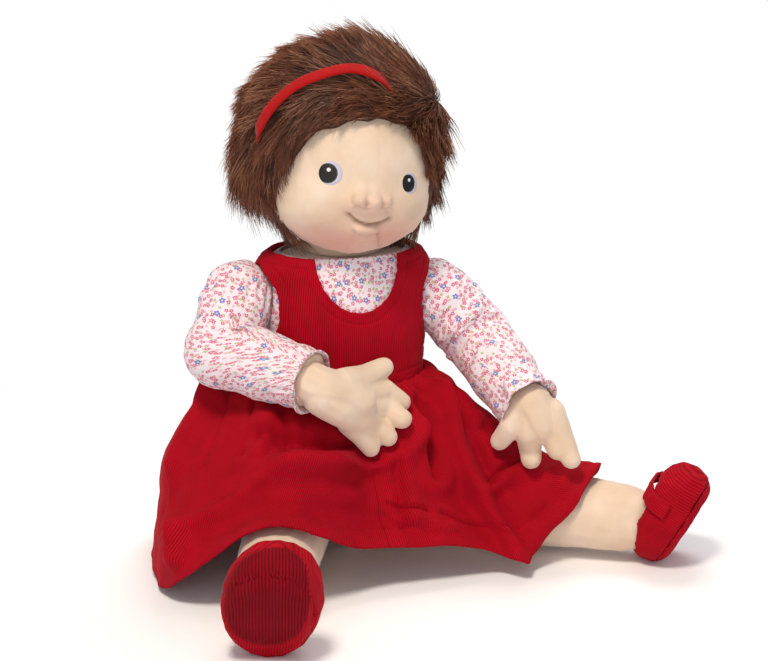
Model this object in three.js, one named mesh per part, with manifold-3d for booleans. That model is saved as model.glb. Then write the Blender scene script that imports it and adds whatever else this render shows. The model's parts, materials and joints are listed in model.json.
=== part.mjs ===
// A large seated cloth doll in a corduroy pinafore, a printed blouse and soft strap shoes.
// Millimetres, +Z up. The doll faces -Y, and its left hand is on the +X side.
// The origin lies on the floor, in the middle of the flat that the doll sits on.
import * as THREE from 'three';
import { mergeVertices } from 'three/addons/utils/BufferGeometryUtils.js';
import Module from 'manifold-3d';

const wasm = await Module();
wasm.setup();

// Clearances between pieces, and the one overrun that all cuts share
const seamGap = 0.3;
const clothGap = 0.5;
const turnGap = 0.6;
const hairGap = 2.1;
const overrun = 8;

// Stuffed body
const torsoHeight = 186;
const torsoHalfWidth = 50;
const torsoHalfDepth = 40;
const torsoLean = 4;
const hipSpread = 28;
const hipHeight = 30;
const hipForward = 8;
const stubRoom = 2.2;

// Neck and head
const neckRadius = 30;
const neckShift = 4;
const neckPivotHeight = 206;
const neckDip = 17.5;
const headHalfWidth = 52;
const headHalfDepth = 47;
const headHalfHeight = 53;
const headShift = 6;
const headForward = 7;
const headHeight = 244;
const noseReach = 11;
const nostrilReach = 5;
const lipReach = 3.2;
const cheekReach = 3.5;
const chinReach = 2.5;
const socketDepth = 1.6;
const earHeight = 17;
const earWidth = 5;
const earDepth = 9;
const eyeDiameter = 14.5;
const eyeThickness = 1.1;
const eyeSpacing = 50;
const eyeDrop = 4;
const eyeSlant = 6;

// Hair and headband
const hairTop = 26;
const hairSide = 27;
const hairFringe = 13;
const hairTuft = 9;
const bandWidth = 8;
const bandThickness = 2.4;

// Arms and hands
const shoulderSpread = 63;
const shoulderHeight = 163;
const shoulderForward = 2;
const shoulderSlope = 7;
const armBallRadius = 19.5;
const upperArmLength = 39;
const elbowRadius = 20.5;
const forearmLength = 64.5;
const wristRadius = 17;
const palmLength = 33;
const palmHalfWidth = 19;
const palmHalfThickness = 10;
const fingerLength = 27;
const fingerRadius = 6.2;
const thumbLength = 25;
const thumbRadius = 7;

// Legs and feet
const legReach = 156;
const thighRadius = 26;
const kneeRadius = 24.5;
const ankleRadius = 21;
const ankleHeight = 25.5;
const footAhead = 26;
const footRise = 31;
const footHalfLength = 31.5;
const footHalfWidth = 24.5;
const footHalfHeight = 15;
const footSoleShare = 0.62;

// Clothes
const blouseThickness = 1.2;
const blouseHem = 72;
const collarRise = 1.2;
const cordThickness = 2.2;
const waistHeight = 109;
const neckScoopDepth = 31;
const neckScoopHalfWidth = 26;
const backScoopDepth = 12;
const armholeHeight = 52;
const armholeDepth = 44;
const armholeLow = 128;
const placketWidth = 16;
const placketThickness = 1.2;
const skirtLength = 128;
const skirtThickness = 2.4;
const hemClearance = 1.2;
const shoeThickness = 2.4;
const soleThickness = 4.5;
const strapWidth = 10;
const strapThickness = 1.8;

// Where each limb points at rest, in degrees: turn from straight ahead towards the
// doll's left, then rise above the level; toe is how far the foot turns in from its leg
const pose = {
  right: {
    side: -1, upper: [-41, -50], fore: [44, -8.8], hand: [63, -15.5], roll: 72, leg: -22.6, toe: 2.6,
  },
  left: { side: 1, upper: [53, -44], fore: [17, -33], hand: [4, -45], roll: 12, leg: 56.1, toe: 0.8 },
};
const headTilt = 5;
const headTurn = -3;
const footLean = 30;

// Finger fans: sideways angle and downward curl in degrees, then length share
const fingerFans = {
  right: [[9, 20, 0.95], [-13, 27, 1], [-36, 24, 0.97], [-58, 16, 0.86]],
  left: [[16, 8, 0.96], [0, 12, 1.05], [-15, 14, 1.05], [-30, 12, 0.95]],
};
const thumbFans = { right: [31, -6], left: [48, 10] };

const cream = { color: 0xe2cbb0, roughness: 0.92, metalness: 0 };
const redCord = { color: 0xa8000f, roughness: 0.95, metalness: 0 };
const printCotton = { color: 0xe6d3d8, roughness: 0.9, metalness: 0 };
const brownPile = { color: 0x6b3a26, roughness: 0.7, metalness: 0 };
const redKnit = { color: 0xd8211f, roughness: 0.9, metalness: 0 };
const blackThread = { color: 0x14100f, roughness: 0.5, metalness: 0 };

// Small helpers
const radians = THREE.MathUtils.degToRad;
const at = (x, y, z) => new THREE.Vector3(x, y, z);
const up = at(0, 0, 1);

// A unit direction from a turn and a rise in degrees
function heading([turn, rise]) {
  const level = Math.cos(radians(rise));
  return at(Math.sin(radians(turn)) * level, -Math.cos(radians(turn)) * level, Math.sin(radians(rise)));
}

// A value read off a table of [place, value, value, ...] rows, eased between the rows
function readTable(rows, place) {
  if (place <= rows[0][0]) return rows[0].slice(1);
  for (let i = 1; i < rows.length; i += 1) {
    if (place <= rows[i][0]) {
      const t = (place - rows[i - 1][0]) / (rows[i][0] - rows[i - 1][0]);
      return rows[i].slice(1).map((value, k) => THREE.MathUtils.lerp(rows[i - 1][k + 1], value, t));
    }
  }
  return rows[rows.length - 1].slice(1);
}

function indexed(positions, index) {
  const geometry = new THREE.BufferGeometry();
  geometry.setAttribute('position', new THREE.Float32BufferAttribute(positions, 3));
  geometry.setIndex(index);
  return outward(geometry);
}

// Turns a closed geometry right side out, going by the sign of its volume
function outward(geometry) {
  const place = geometry.attributes.position;
  const index = Array.from(geometry.index.array);
  const [a, b, c] = [at(0, 0, 0), at(0, 0, 0), at(0, 0, 0)];
  let volume = 0;
  for (let i = 0; i < index.length; i += 3) {
    a.fromBufferAttribute(place, index[i]);
    b.fromBufferAttribute(place, index[i + 1]);
    c.fromBufferAttribute(place, index[i + 2]);
    volume += a.dot(b.cross(c));
  }
  if (volume < 0) {
    for (let i = 0; i < index.length; i += 3) [index[i + 1], index[i + 2]] = [index[i + 2], index[i + 1]];
    geometry.setIndex(index);
  }
  return geometry;
}

// Joins rings of points into one closed skin, each end closed by a fan to its middle
function loft(rings) {
  const count = rings[0].length;
  const positions = rings.flat().flatMap((p) => [p.x, p.y, p.z]);
  const index = [];
  for (let i = 0; i < rings.length - 1; i += 1) {
    for (let j = 0; j < count; j += 1) {
      const [a, b] = [i * count + j, i * count + (j + 1) % count];
      index.push(a, b, b + count, a, b + count, a + count);
    }
  }
  for (const [ring, flip] of [[0, true], [rings.length - 1, false]]) {
    const middle = rings[ring].reduce((sum, p) => sum.add(p), at(0, 0, 0)).divideScalar(count);
    const centre = positions.length / 3;
    positions.push(middle.x, middle.y, middle.z);
    for (let j = 0; j < count; j += 1) {
      const [a, b] = [ring * count + j, ring * count + (j + 1) % count];
      index.push(...(flip ? [centre, b, a] : [centre, a, b]));
    }
  }
  return indexed(positions, index);
}

// A tube of cloth with an open bore: outer rings, the inner rings back, and both rims
function sleeveOf(outer, inner) {
  const count = outer[0].length;
  const rings = [...outer, ...inner.slice().reverse()];
  const positions = rings.flat().flatMap((p) => [p.x, p.y, p.z]);
  const index = [];
  for (let i = 0; i < rings.length; i += 1) {
    const next = (i + 1) % rings.length;
    for (let j = 0; j < count; j += 1) {
      const k = (j + 1) % count;
      const [a, b, c, d] = [i * count + j, i * count + k, next * count + k, next * count + j];
      index.push(a, b, c, a, c, d);
    }
  }
  return indexed(positions, index);
}

// Solids for joining and cutting
function toSolid(geometry) {
  const bare = geometry.clone();
  bare.deleteAttribute('normal');
  bare.deleteAttribute('uv');
  const merged = mergeVertices(bare);
  return new wasm.Manifold(new wasm.Mesh({
    numProp: 3,
    vertProperties: new Float32Array(merged.attributes.position.array),
    triVerts: new Uint32Array(merged.index.array),
  }));
}

function fromSolid(solid) {
  const mesh = solid.getMesh();
  const geometry = new THREE.BufferGeometry();
  geometry.setAttribute('position', new THREE.BufferAttribute(new Float32Array(mesh.vertProperties), 3));
  geometry.setIndex(new THREE.BufferAttribute(new Uint32Array(mesh.triVerts), 1));
  return geometry;
}

// What is left of a geometry after the cuts: its largest body, without the crumbs beside it
function carve(geometry, cutters) {
  const left = cutters.reduce((solid, cutter) => solid.subtract(toSolid(cutter)), toSolid(geometry));
  const bodies = left.decompose().sort((one, two) => two.volume() - one.volume());
  return fromSolid(bodies[0]);
}

function join(geometries) {
  const [first, ...others] = geometries.map(toSolid);
  return fromSolid(others.reduce((solid, more) => solid.add(more), first));
}

function keep(geometry, block) {
  return fromSolid(toSolid(geometry).intersect(toSolid(block)));
}

// The part of a geometry on the far side of a plane: a large block covers the rest
function halfBlock(point, normal, size) {
  const block = new THREE.BoxGeometry(size, size, size);
  block.applyQuaternion(new THREE.Quaternion().setFromUnitVectors(up, normal));
  const centre = point.clone().addScaledVector(normal, size / 2);
  return block.translate(centre.x, centre.y, centre.z);
}

// The outline of the stuffed body: height share, then half width, half depth and forward lean shares
const torsoRows = [
  [0, 0.8, 0.7, -1], [0.04, 0.98, 0.86, -1], [0.1, 1.08, 0.98, -0.8], [0.25, 1.1, 1.04, -0.3],
  [0.45, 1.03, 1.02, 0.6], [0.6, 0.96, 0.98, 1], [0.75, 0.98, 0.92, 0.8], [0.88, 1.04, 0.84, 0.4],
  [0.94, 1.04, 0.8, 0.2], [0.975, 0.95, 0.77, 0], [1, 0.74, 0.72, 0],
];
const shoulderStartShare = 0.85;
const neckThroat = Math.sqrt(neckRadius ** 2 - neckDip ** 2);
const ringSides = 26;

// One level ring round the body, or round the neck above it, set off outwards by grow
function torsoRing(height, grow) {
  const share = height / torsoHeight;
  const [wide, deep, lean] = readTable(torsoRows, share);
  const lift = grow * THREE.MathUtils.smoothstep(share, shoulderStartShare, 1);
  const onNeck = height > torsoHeight;
  const halfWidth = onNeck ? neckThroat + turnGap - clothGap : torsoHalfWidth * wide;
  const halfDepth = onNeck ? neckThroat + turnGap - clothGap : torsoHalfDepth * deep;
  const shift = neckShift * Math.min(share, 1) ** 2;
  return Array.from({ length: ringSides }, (_, j) => {
    const angle = (2 * Math.PI * j) / ringSides;
    return at(
      shift + Math.cos(angle) * (halfWidth + grow),
      Math.sin(angle) * (halfDepth + grow) - torsoLean * lean,
      height + (onNeck ? 0 : lift),
    );
  });
}

// Rings of a round limb along a line or curve, with a domed start and end where asked
function limbRings(curve, radii, { sides = 16, steps = 5, domes = 3, grow = 0, start = true, end = true }) {
  const rings = [];
  const side = at(0, 0, 0);
  const ringAt = (t, slide, radius) => {
    const tangent = curve.getTangentAt(t);
    side.crossVectors(tangent, Math.abs(tangent.z) > 0.9 ? at(0, 1, 0) : up).normalize();
    const other = at(0, 0, 0).crossVectors(side, tangent);
    const centre = curve.getPointAt(t).addScaledVector(tangent, slide);
    rings.push(Array.from({ length: sides }, (_, j) => {
      const angle = (2 * Math.PI * j) / sides;
      return centre.clone().addScaledVector(side, Math.cos(angle) * radius)
        .addScaledVector(other, Math.sin(angle) * radius);
    }));
  };
  const first = readTable(radii, 0)[0] + grow;
  const last = readTable(radii, 1)[0] + grow;
  const quarter = Math.PI / 2;
  for (let k = 1; start && k < domes; k += 1) {
    const angle = (quarter * k) / domes;
    ringAt(0, -first * Math.cos(angle), first * Math.sin(angle));
  }
  for (let i = 0; i <= steps; i += 1) ringAt(i / steps, 0, readTable(radii, i / steps)[0] + grow);
  for (let k = domes - 1; end && k > 0; k -= 1) {
    const angle = (quarter * k) / domes;
    ringAt(1, last * Math.cos(angle), last * Math.sin(angle));
  }
  return rings;
}

const limb = (points, radii, options = {}) => {
  const curve = points.length > 2 ? new THREE.CatmullRomCurve3(points) : new THREE.LineCurve3(...points);
  return loft(limbRings(curve, radii, options));
};

// A ball as a lathe about +Z whose flats still clear the radius, moved to its centre
function ball(centre, least, sides = 16) {
  const radius = least / Math.cos(Math.PI / sides) ** 2;
  const arc = Array.from({ length: sides / 2 + 1 }, (_, i) => {
    const angle = (2 * Math.PI * i) / sides - Math.PI / 2;
    return new THREE.Vector2(i % (sides / 2) ? Math.cos(angle) * radius : 0, Math.sin(angle) * radius);
  });
  return new THREE.LatheGeometry(arc, sides).translate(centre.x, centre.y, centre.z);
}

// Turns a copy of a geometry about a line through a pivot
function turned(geometry, pivot, axis, degrees) {
  return geometry.clone().translate(-pivot.x, -pivot.y, -pivot.z)
    .applyQuaternion(new THREE.Quaternion().setFromAxisAngle(axis, radians(degrees)))
    .translate(pivot.x, pivot.y, pivot.z);
}

// Where each limb's bones would lie, from the pose
function armLine(sideName) {
  const { side, upper, fore, hand } = pose[sideName];
  const drop = side > 0 ? shoulderSlope : 0;
  const shoulder = at(side * shoulderSpread, -shoulderForward, shoulderHeight - drop);
  const elbow = shoulder.clone().addScaledVector(heading(upper), upperArmLength);
  const wrist = elbow.clone().addScaledVector(heading(fore), forearmLength);
  const palmEnd = wrist.clone().addScaledVector(heading(hand), palmLength);
  return { shoulder, elbow, wrist, palmEnd };
}

function legLine(sideName) {
  const { side, leg, toe } = pose[sideName];
  const ahead = heading([leg, 0]);
  const hip = at(side * hipSpread, -hipForward, hipHeight);
  const ankle = hip.clone().addScaledVector(ahead, legReach).setZ(ankleHeight);
  const foot = hip.clone().addScaledVector(heading([leg + toe, 0]), legReach + footAhead).setZ(footRise);
  const hinge = at(0, 0, 0).crossVectors(up, ahead);
  return { ahead, hip, ankle, foot, hinge };
}

const thighRadii = [[0, thighRadius], [0.35, thighRadius], [0.6, kneeRadius], [1, ankleRadius]];
const legSwingDegrees = [16, 32, 48, 64, 80];

function legSolid(sideName, grow = 0) {
  const { hip, ankle } = legLine(sideName);
  return limb([hip, ankle], thighRadii, { sides: 16, steps: 4, domes: 3, grow });
}

// A plain stub of the thigh, without its ball, that clears the way of the leg's swing
function thighStub(sideName) {
  const { hip, ahead } = legLine(sideName);
  const start = hip.clone().addScaledVector(ahead, thighRadius * 0.2);
  const end = hip.clone().addScaledVector(ahead, thighRadius * 3);
  const room = [[0, thighRadius + stubRoom]];
  return limb([start, end], room, { sides: 10, steps: 1, start: false, end: false });
}

function upperArmSolid(sideName, grow = 0) {
  const { shoulder, elbow } = armLine(sideName);
  const radii = [[0, armBallRadius], [1, elbowRadius]];
  return limb([shoulder, elbow], radii, { sides: 12, steps: 1, domes: 3, grow });
}

function forearmSolid(sideName, grow = 0) {
  const { elbow, wrist } = armLine(sideName);
  const radii = [[0, elbowRadius], [0.5, (elbowRadius + wristRadius) / 2], [1, wristRadius]];
  return limb([elbow, wrist], radii, { sides: 12, steps: 3, domes: 2, grow, end: false });
}

const sleeveSpace = clothGap + blouseThickness + turnGap;

// What makes room for one arm in its sleeve: the shoulder's ball and the arm as it hangs
function armRoom(sideName) {
  const { shoulder } = armLine(sideName);
  return [ball(shoulder, armBallRadius + sleeveSpace, 12), upperArmSolid(sideName, sleeveSpace)];
}

// The body: one stuffed bag, flat where it sits, hollowed where the limbs turn in it
function torso() {
  const shares = torsoRows.map(([share]) => share);
  const rings = shares.map((share) => torsoRing(share * torsoHeight, 0));
  const cutters = [];
  for (const sideName of ['right', 'left']) {
    const { hip, hinge } = legLine(sideName);
    cutters.push(legSolid(sideName, turnGap), ball(hip, thighRadius + turnGap, 20));
    for (const degrees of legSwingDegrees) cutters.push(turned(thighStub(sideName), hip, hinge, degrees));
    cutters.push(...armRoom(sideName));
  }
  return carve(loft(rings), cutters);
}

// The neck: a short stuffed column with a ball top that the head turns on
function neck() {
  const domeAngles = [90, 70, 50, 30, 12, -4, -18];
  const dome = domeAngles.map((degrees) => new THREE.Vector2(
    degrees === 90 ? 0 : Math.cos(radians(degrees)) * neckRadius,
    Math.sin(radians(degrees)) * neckRadius + neckPivotHeight,
  ));
  const base = torsoHeight + seamGap;
  const profile = [...dome, new THREE.Vector2(neckThroat, neckPivotHeight - neckDip),
    new THREE.Vector2(neckThroat, base), new THREE.Vector2(0, base)].reverse();
  return new THREE.LatheGeometry(profile, 20).rotateX(Math.PI / 2).translate(neckShift, 0, 0);
}

// The head in its own frame: ahead is -Y, and the tip of the nose is the pole of its rings
const facePole = at(0, -1, -0.27).normalize();
const faceRingDegrees = [5, 10, 15, 20, 26, 32, 39, 47, 56, 67, 80, 94, 108, 124, 142, 162];
const faceSectors = 30;
const faceBumps = [
  { ahead: [0, -0.27], width: 0.115, reach: noseReach },
  { ahead: [-0.17, -0.32], width: 0.085, reach: nostrilReach },
  { ahead: [0.17, -0.32], width: 0.085, reach: nostrilReach },
  { ahead: [0, -0.62], width: 0.12, reach: lipReach },
  { ahead: [-0.62, -0.42], width: 0.34, reach: cheekReach },
  { ahead: [0.62, -0.42], width: 0.34, reach: cheekReach },
  { ahead: [0, -0.86], width: 0.26, reach: chinReach },
  { ahead: [-0.5, -0.02], width: 0.2, reach: -socketDepth },
  { ahead: [0.5, -0.12], width: 0.2, reach: -socketDepth },
];

// How far the head's skin stands from its middle, in one direction
function headReach(direction) {
  const base = 1 / Math.hypot(
    direction.x / headHalfWidth,
    direction.y / headHalfDepth,
    direction.z / headHalfHeight,
  );
  const jowl = 1 + 0.05 * Math.max(0, -direction.z) * (1 - direction.z ** 2);
  let bumps = 0;
  for (const { ahead: [sideShare, riseShare], width, reach } of faceBumps) {
    const away = Math.hypot(direction.x - sideShare, direction.z - riseShare);
    if (direction.y < 0) bumps += reach * Math.exp(-((away / width) ** 2));
  }
  return base * jowl + bumps;
}

// From the head's own frame to its place on the neck
function placeHead(geometry) {
  return geometry.rotateZ(radians(headTurn)).rotateY(radians(headTilt))
    .translate(headShift, -headForward, headHeight);
}

function headSkin(grow, lonCount = faceSectors, rings = faceRingDegrees) {
  const toPole = new THREE.Quaternion().setFromUnitVectors(up, facePole);
  return rings.map((degrees) => Array.from({ length: lonCount }, (_, j) => {
    const angle = (2 * Math.PI * j) / lonCount;
    const across = Math.sin(radians(degrees));
    const direction = at(Math.cos(angle) * across, Math.sin(angle) * across, Math.cos(radians(degrees)));
    direction.applyQuaternion(toPole);
    return direction.clone().multiplyScalar(headReach(direction) + grow);
  }));
}

const neckSocket = () => ball(at(neckShift, 0, neckPivotHeight), neckRadius + clothGap, 24);

function head() {
  return carve(placeHead(loft(headSkin(0))), [neckSocket()]);
}

// Small pieces sewn onto the head sit on its skin
function onHead(geometry) {
  return carve(placeHead(geometry), [placeHead(loft(headSkin(seamGap)))]);
}

function eye(side) {
  const middle = at(side * (eyeSpacing / 2), 0, -eyeDrop - side * eyeSlant / 2);
  const direction = at(middle.x, -Math.sqrt(headHalfDepth ** 2 - middle.x ** 2), middle.z).normalize();
  const centre = direction.clone().multiplyScalar(headReach(direction));
  const patch = new THREE.SphereGeometry(eyeDiameter / 2, 12, 5);
  patch.scale(1, 1, (2 * (eyeThickness + seamGap)) / eyeDiameter);
  patch.applyQuaternion(new THREE.Quaternion().setFromUnitVectors(up, direction));
  return onHead(patch.translate(centre.x, centre.y, centre.z));
}

function ear(side, grow = 0) {
  const lobe = new THREE.SphereGeometry(1, 8, 5);
  lobe.scale(earWidth + grow, earDepth + grow, earHeight / 2 + grow);
  return onHead(lobe.translate(side * headHalfWidth, 0, -earWidth));
}

// Hair: azimuth from straight ahead towards the doll's left, then how far the hair comes
// down from the crown in degrees, and the shares of the top and side thickness
const hairRows = [
  [-180, 122, 1], [-140, 126, 1], [-110, 132, 1.05], [-88, 134, 0.9], [-70, 118, 0.9], [-55, 84, 0.8],
  [-35, 64, 0.55], [-12, 55, 0.5], [12, 53, 0.5], [34, 58, 0.5], [50, 80, 0.6], [66, 112, 0.7],
  [84, 130, 0.72], [110, 132, 0.85], [140, 126, 1], [180, 122, 1],
];
const hairSectors = 42;
const hairOuterSteps = 8;
const hairInnerSteps = 9;
const tuftCount = 16;
const bandStand = 20;
const bandLeanShare = 0.62;
const bandRiseShare = 0.42;
const bandPress = 11;
const bandSides = 8;

// A point of the headband's loop in the head's frame, standing off the skin by grow
function bandPoint(angle, grow) {
  const level = Math.sqrt(1 - bandLeanShare ** 2);
  const direction = at(1, 0, 0).multiplyScalar(Math.cos(angle))
    .addScaledVector(at(0, -level, bandLeanShare), Math.sin(angle))
    .addScaledVector(at(0, bandLeanShare, level), bandRiseShare).normalize();
  return direction.multiplyScalar(headReach(direction) + grow);
}

const bandSteps = 26;
const bandPath = Array.from({ length: bandSteps }, (_, i) => {
  const angle = (2 * Math.PI * i) / bandSteps;
  return bandPoint(angle, bandStand);
});

// The band's tube; a rise above zero opens it outwards into the groove that it lies in
function bandTube(grow, rise = 0) {
  const rings = bandPath.map((centre, i) => {
    const [before, after] = [bandPath[(i + bandSteps - 1) % bandSteps], bandPath[(i + 1) % bandSteps]];
    const tangent = after.clone().sub(before).normalize();
    const outwards = centre.clone().normalize();
    const along = at(0, 0, 0).crossVectors(tangent, outwards).normalize();
    return Array.from({ length: bandSides }, (__, j) => {
      const angle = (2 * Math.PI * j) / bandSides;
      const lift = j > 0 && j < bandSides / 2 ? rise : 0;
      return centre.clone().addScaledVector(along, Math.cos(angle) * (bandWidth / 2 + grow))
        .addScaledVector(outwards, Math.sin(angle) * (bandThickness / 2 + grow + lift));
    });
  });
  const positions = rings.flat().flatMap((p) => [p.x, p.y, p.z]);
  const index = [];
  for (let i = 0; i < bandSteps; i += 1) {
    for (let j = 0; j < bandSides; j += 1) {
      const [k, next] = [(j + 1) % bandSides, (i + 1) % bandSteps];
      const [a, b] = [i * bandSides + j, i * bandSides + k];
      const [c, d] = [next * bandSides + k, next * bandSides + j];
      index.push(a, b, c, a, c, d);
    }
  }
  return placeHead(indexed(positions, index));
}

// How far the hair stands off the skin, thick on the crown and drawn in under the headband
function hairStand(direction, edgeShare, thickShare, phase) {
  const upwards = Math.max(0, direction.z);
  const full = THREE.MathUtils.lerp(hairSide * thickShare, hairTop, upwards ** 1.5);
  const tuft = hairTuft * (Math.abs(((phase % 1) + 1) % 1 - 0.5) * 2 - 0.5);
  const point = direction.clone().multiplyScalar(headReach(direction) + bandStand);
  const near = Math.min(...bandPath.map((centre) => centre.distanceTo(point)));
  const pressed = Math.exp(-((near / bandPress) ** 2));
  const stand = full * (1 - 0.7 * edgeShare ** 3) + tuft * Math.min(1, edgeShare * 2) * (1 - pressed);
  return THREE.MathUtils.lerp(Math.max(stand, hairFringe / 2), Math.min(stand, bandStand), pressed);
}

function hair() {
  const spokes = Array.from({ length: hairSectors }, (_, j) => {
    const turn = (360 * j) / hairSectors - 180;
    const [edge, thick] = readTable(hairRows, turn);
    const jag = 1 + 0.05 * (j % 3 === 0 ? 1 : -0.5);
    return { turn, edge: edge * jag, thick, j };
  });
  const directionAt = (turn, down) => at(
    Math.sin(radians(turn)) * Math.sin(radians(down)),
    -Math.cos(radians(turn)) * Math.sin(radians(down)),
    Math.cos(radians(down)),
  );
  const outer = Array.from({ length: hairOuterSteps }, (_, i) => spokes.map(({ turn, edge, thick, j }) => {
    const share = (i + 0.4) / (hairOuterSteps - 0.6);
    const direction = directionAt(turn, edge * share);
    const phase = (j * tuftCount) / hairSectors + i * 0.5;
    return direction.clone().multiplyScalar(
      headReach(direction) + hairStand(direction, share, thick, phase),
    );
  }));
  const inner = Array.from({ length: hairInnerSteps }, (_, i) => spokes.map(({ turn, edge }) => {
    const direction = directionAt(turn, edge * ((i + 0.4) / hairInnerSteps));
    return direction.clone().multiplyScalar(headReach(direction) + hairGap);
  }));
  const bowl = placeHead(loft([...outer, ...inner.reverse()]));
  return carve(bowl, [bandTube(seamGap, hairTop), ear(-1, clothGap), ear(1, clothGap)]);
}

// A hand: a flattened palm with four fingers and a thumb, opened like a fan
function hand(sideName) {
  const { side, roll, hand: aim } = pose[sideName];
  const { elbow, wrist } = armLine(sideName);
  const ahead = heading(aim);
  const thumbSide = at(0, 0, 0).crossVectors(ahead, up).normalize().multiplyScalar(side)
    .applyAxisAngle(ahead, -side * radians(roll));
  const back = at(0, 0, 0).crossVectors(thumbSide, ahead).multiplyScalar(side).normalize();
  const palmSides = 14;
  const palmRows = [
    [0, 0.82, 1.42], [0.18, 0.86, 1.34], [0.45, 1, 1.14],
    [0.75, 1.06, 0.95], [0.95, 0.96, 0.8], [1.1, 0.66, 0.55],
  ];
  const foreway = wrist.clone().sub(elbow).normalize();
  const start = wrist.clone().addScaledVector(foreway, seamGap);
  const palm = palmRows.map(([share, wide, thick]) => {
    const centre = start.clone().addScaledVector(ahead, share * palmLength);
    return Array.from({ length: palmSides }, (_, j) => {
      const angle = (2 * Math.PI * j) / palmSides;
      return centre.clone().addScaledVector(thumbSide, Math.cos(angle) * palmHalfWidth * wide)
        .addScaledVector(back, Math.sin(angle) * palmHalfThickness * thick);
    });
  });
  const digits = fingerFans[sideName].map(([fan, curl, share], i) => {
    const spread = (1.5 - i) * fingerRadius * 1.3;
    const root = start.clone().addScaledVector(ahead, palmLength * 0.72).addScaledVector(thumbSide, spread);
    const way = ahead.clone().applyAxisAngle(back, side * radians(fan))
      .applyAxisAngle(thumbSide, side * radians(curl));
    const knuckle = root.clone().addScaledVector(way, fingerLength * share * 0.55);
    const tip = knuckle.clone().addScaledVector(
      way.applyAxisAngle(thumbSide, side * radians(curl * 0.8)),
      fingerLength * share * 0.55,
    );
    const radii = [[0, fingerRadius], [1, fingerRadius * 0.86]];
    return limb([root, knuckle, tip], radii, { sides: 7, steps: 3, domes: 2 });
  });
  const [fan, curl] = thumbFans[sideName];
  const thumbRoot = start.clone().addScaledVector(ahead, palmLength * 0.4)
    .addScaledVector(thumbSide, palmHalfWidth * 0.45);
  const thumbWay = ahead.clone().applyAxisAngle(back, side * radians(fan))
    .applyAxisAngle(thumbSide, side * radians(curl));
  const thumbTip = thumbRoot.clone().addScaledVector(thumbWay, thumbLength);
  const thumbRadii = [[0, thumbRadius], [1, thumbRadius * 0.85]];
  const thumb = limb([thumbRoot, thumbTip], thumbRadii, { sides: 8, steps: 1, domes: 2 });
  const foregap = halfBlock(start, foreway.negate(), palmLength * 4);
  return carve(join([loft(palm), ...digits, thumb]), [foregap]);
}

function forearm(sideName) {
  const { elbow } = armLine(sideName);
  const least = sideName === 'left' ? elbowBendDegrees.left : 0;
  const straight = upperArmSolid(sideName, turnGap);
  const folded = turned(straight, elbow, elbowHinge(sideName), -least);
  return carve(forearmSolid(sideName), [straight, folded, ball(elbow, elbowRadius + turnGap, 20)]);
}

// The elbow turns about the square of both arm bones; a positive angle straightens it
function elbowHinge(sideName) {
  return at(0, 0, 0).crossVectors(heading(pose[sideName].fore), heading(pose[sideName].upper)).normalize();
}
const elbowBendDegrees = { left: -40 };

// One sleeve of blouse cloth over the whole arm, open towards the body and at the wrist
function blouseSleeve(sideName) {
  const { shoulder, elbow, wrist } = armLine(sideName);
  const { side } = pose[sideName];
  const outside = clothGap + blouseThickness;
  const inner = join([upperArmSolid(sideName, clothGap), forearmSolid(sideName, clothGap)]);
  const foreway = wrist.clone().sub(elbow).normalize();
  const cuffEnd = wrist.clone().addScaledVector(foreway, -seamGap);
  const inwards = at(-side, 0, 0);
  const armhole = shoulder.clone().addScaledVector(inwards, armBallRadius * 0.8);
  const size = torsoHeight;
  const upper = carve(upperArmSolid(sideName, outside), [halfBlock(armhole, inwards, size)]);
  const outer = join([upper, forearmSolid(sideName, outside)]);
  return carve(outer, [inner, halfBlock(cuffEnd, foreway, size)]);
}

// Feet: an egg that leans forward, with squared sides and a flat sole
function footEgg(sideName, grow, sides = 16, rows = 8) {
  const { ahead, foot } = legLine(sideName);
  const [forth, high] = [Math.sin(radians(footLean)), Math.cos(radians(footLean))];
  const toe = ahead.clone().multiplyScalar(forth).addScaledVector(up, high);
  const sole = ahead.clone().multiplyScalar(high).addScaledVector(up, -forth);
  const wide = at(0, 0, 0).crossVectors(toe, sole);
  const rings = [];
  const squareShare = 0.72;
  const squared = (value) => Math.sign(value) * Math.abs(value) ** squareShare;
  for (let i = 1; i < rows; i += 1) {
    const down = (Math.PI * i) / rows;
    const reach = Math.sin(down) ** squareShare;
    rings.push(Array.from({ length: sides }, (_, j) => {
      const angle = (2 * Math.PI * j) / sides;
      return foot.clone().addScaledVector(toe, Math.cos(angle) * (footHalfLength + grow) * reach)
        .addScaledVector(wide, Math.sin(angle) * (footHalfWidth + grow) * reach)
        .addScaledVector(sole, squared(Math.cos(down)) * (footHalfHeight + grow));
    }));
  }
  return { solid: loft(rings), toe, sole, wide, centre: foot };
}

const soleDepth = footHalfHeight * footSoleShare;

function foot(sideName) {
  const { solid, sole, centre } = footEgg(sideName, 0);
  const flat = centre.clone().addScaledVector(sole, soleDepth);
  return carve(solid, [halfBlock(flat, sole, torsoHeight), legSolid(sideName, seamGap)]);
}

function shoeSole(sideName) {
  const { solid, sole, centre } = footEgg(sideName, clothGap + shoeThickness);
  const inside = centre.clone().addScaledVector(sole, soleDepth + clothGap);
  const outside = inside.clone().addScaledVector(sole, soleThickness);
  return carve(solid, [halfBlock(inside, sole.clone().negate(), torsoHeight),
    halfBlock(outside, sole, torsoHeight), floorBlock()]);
}

const floorBlock = () => halfBlock(at(0, 0, 0), up.clone().negate(), torsoHeight * 4);

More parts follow.
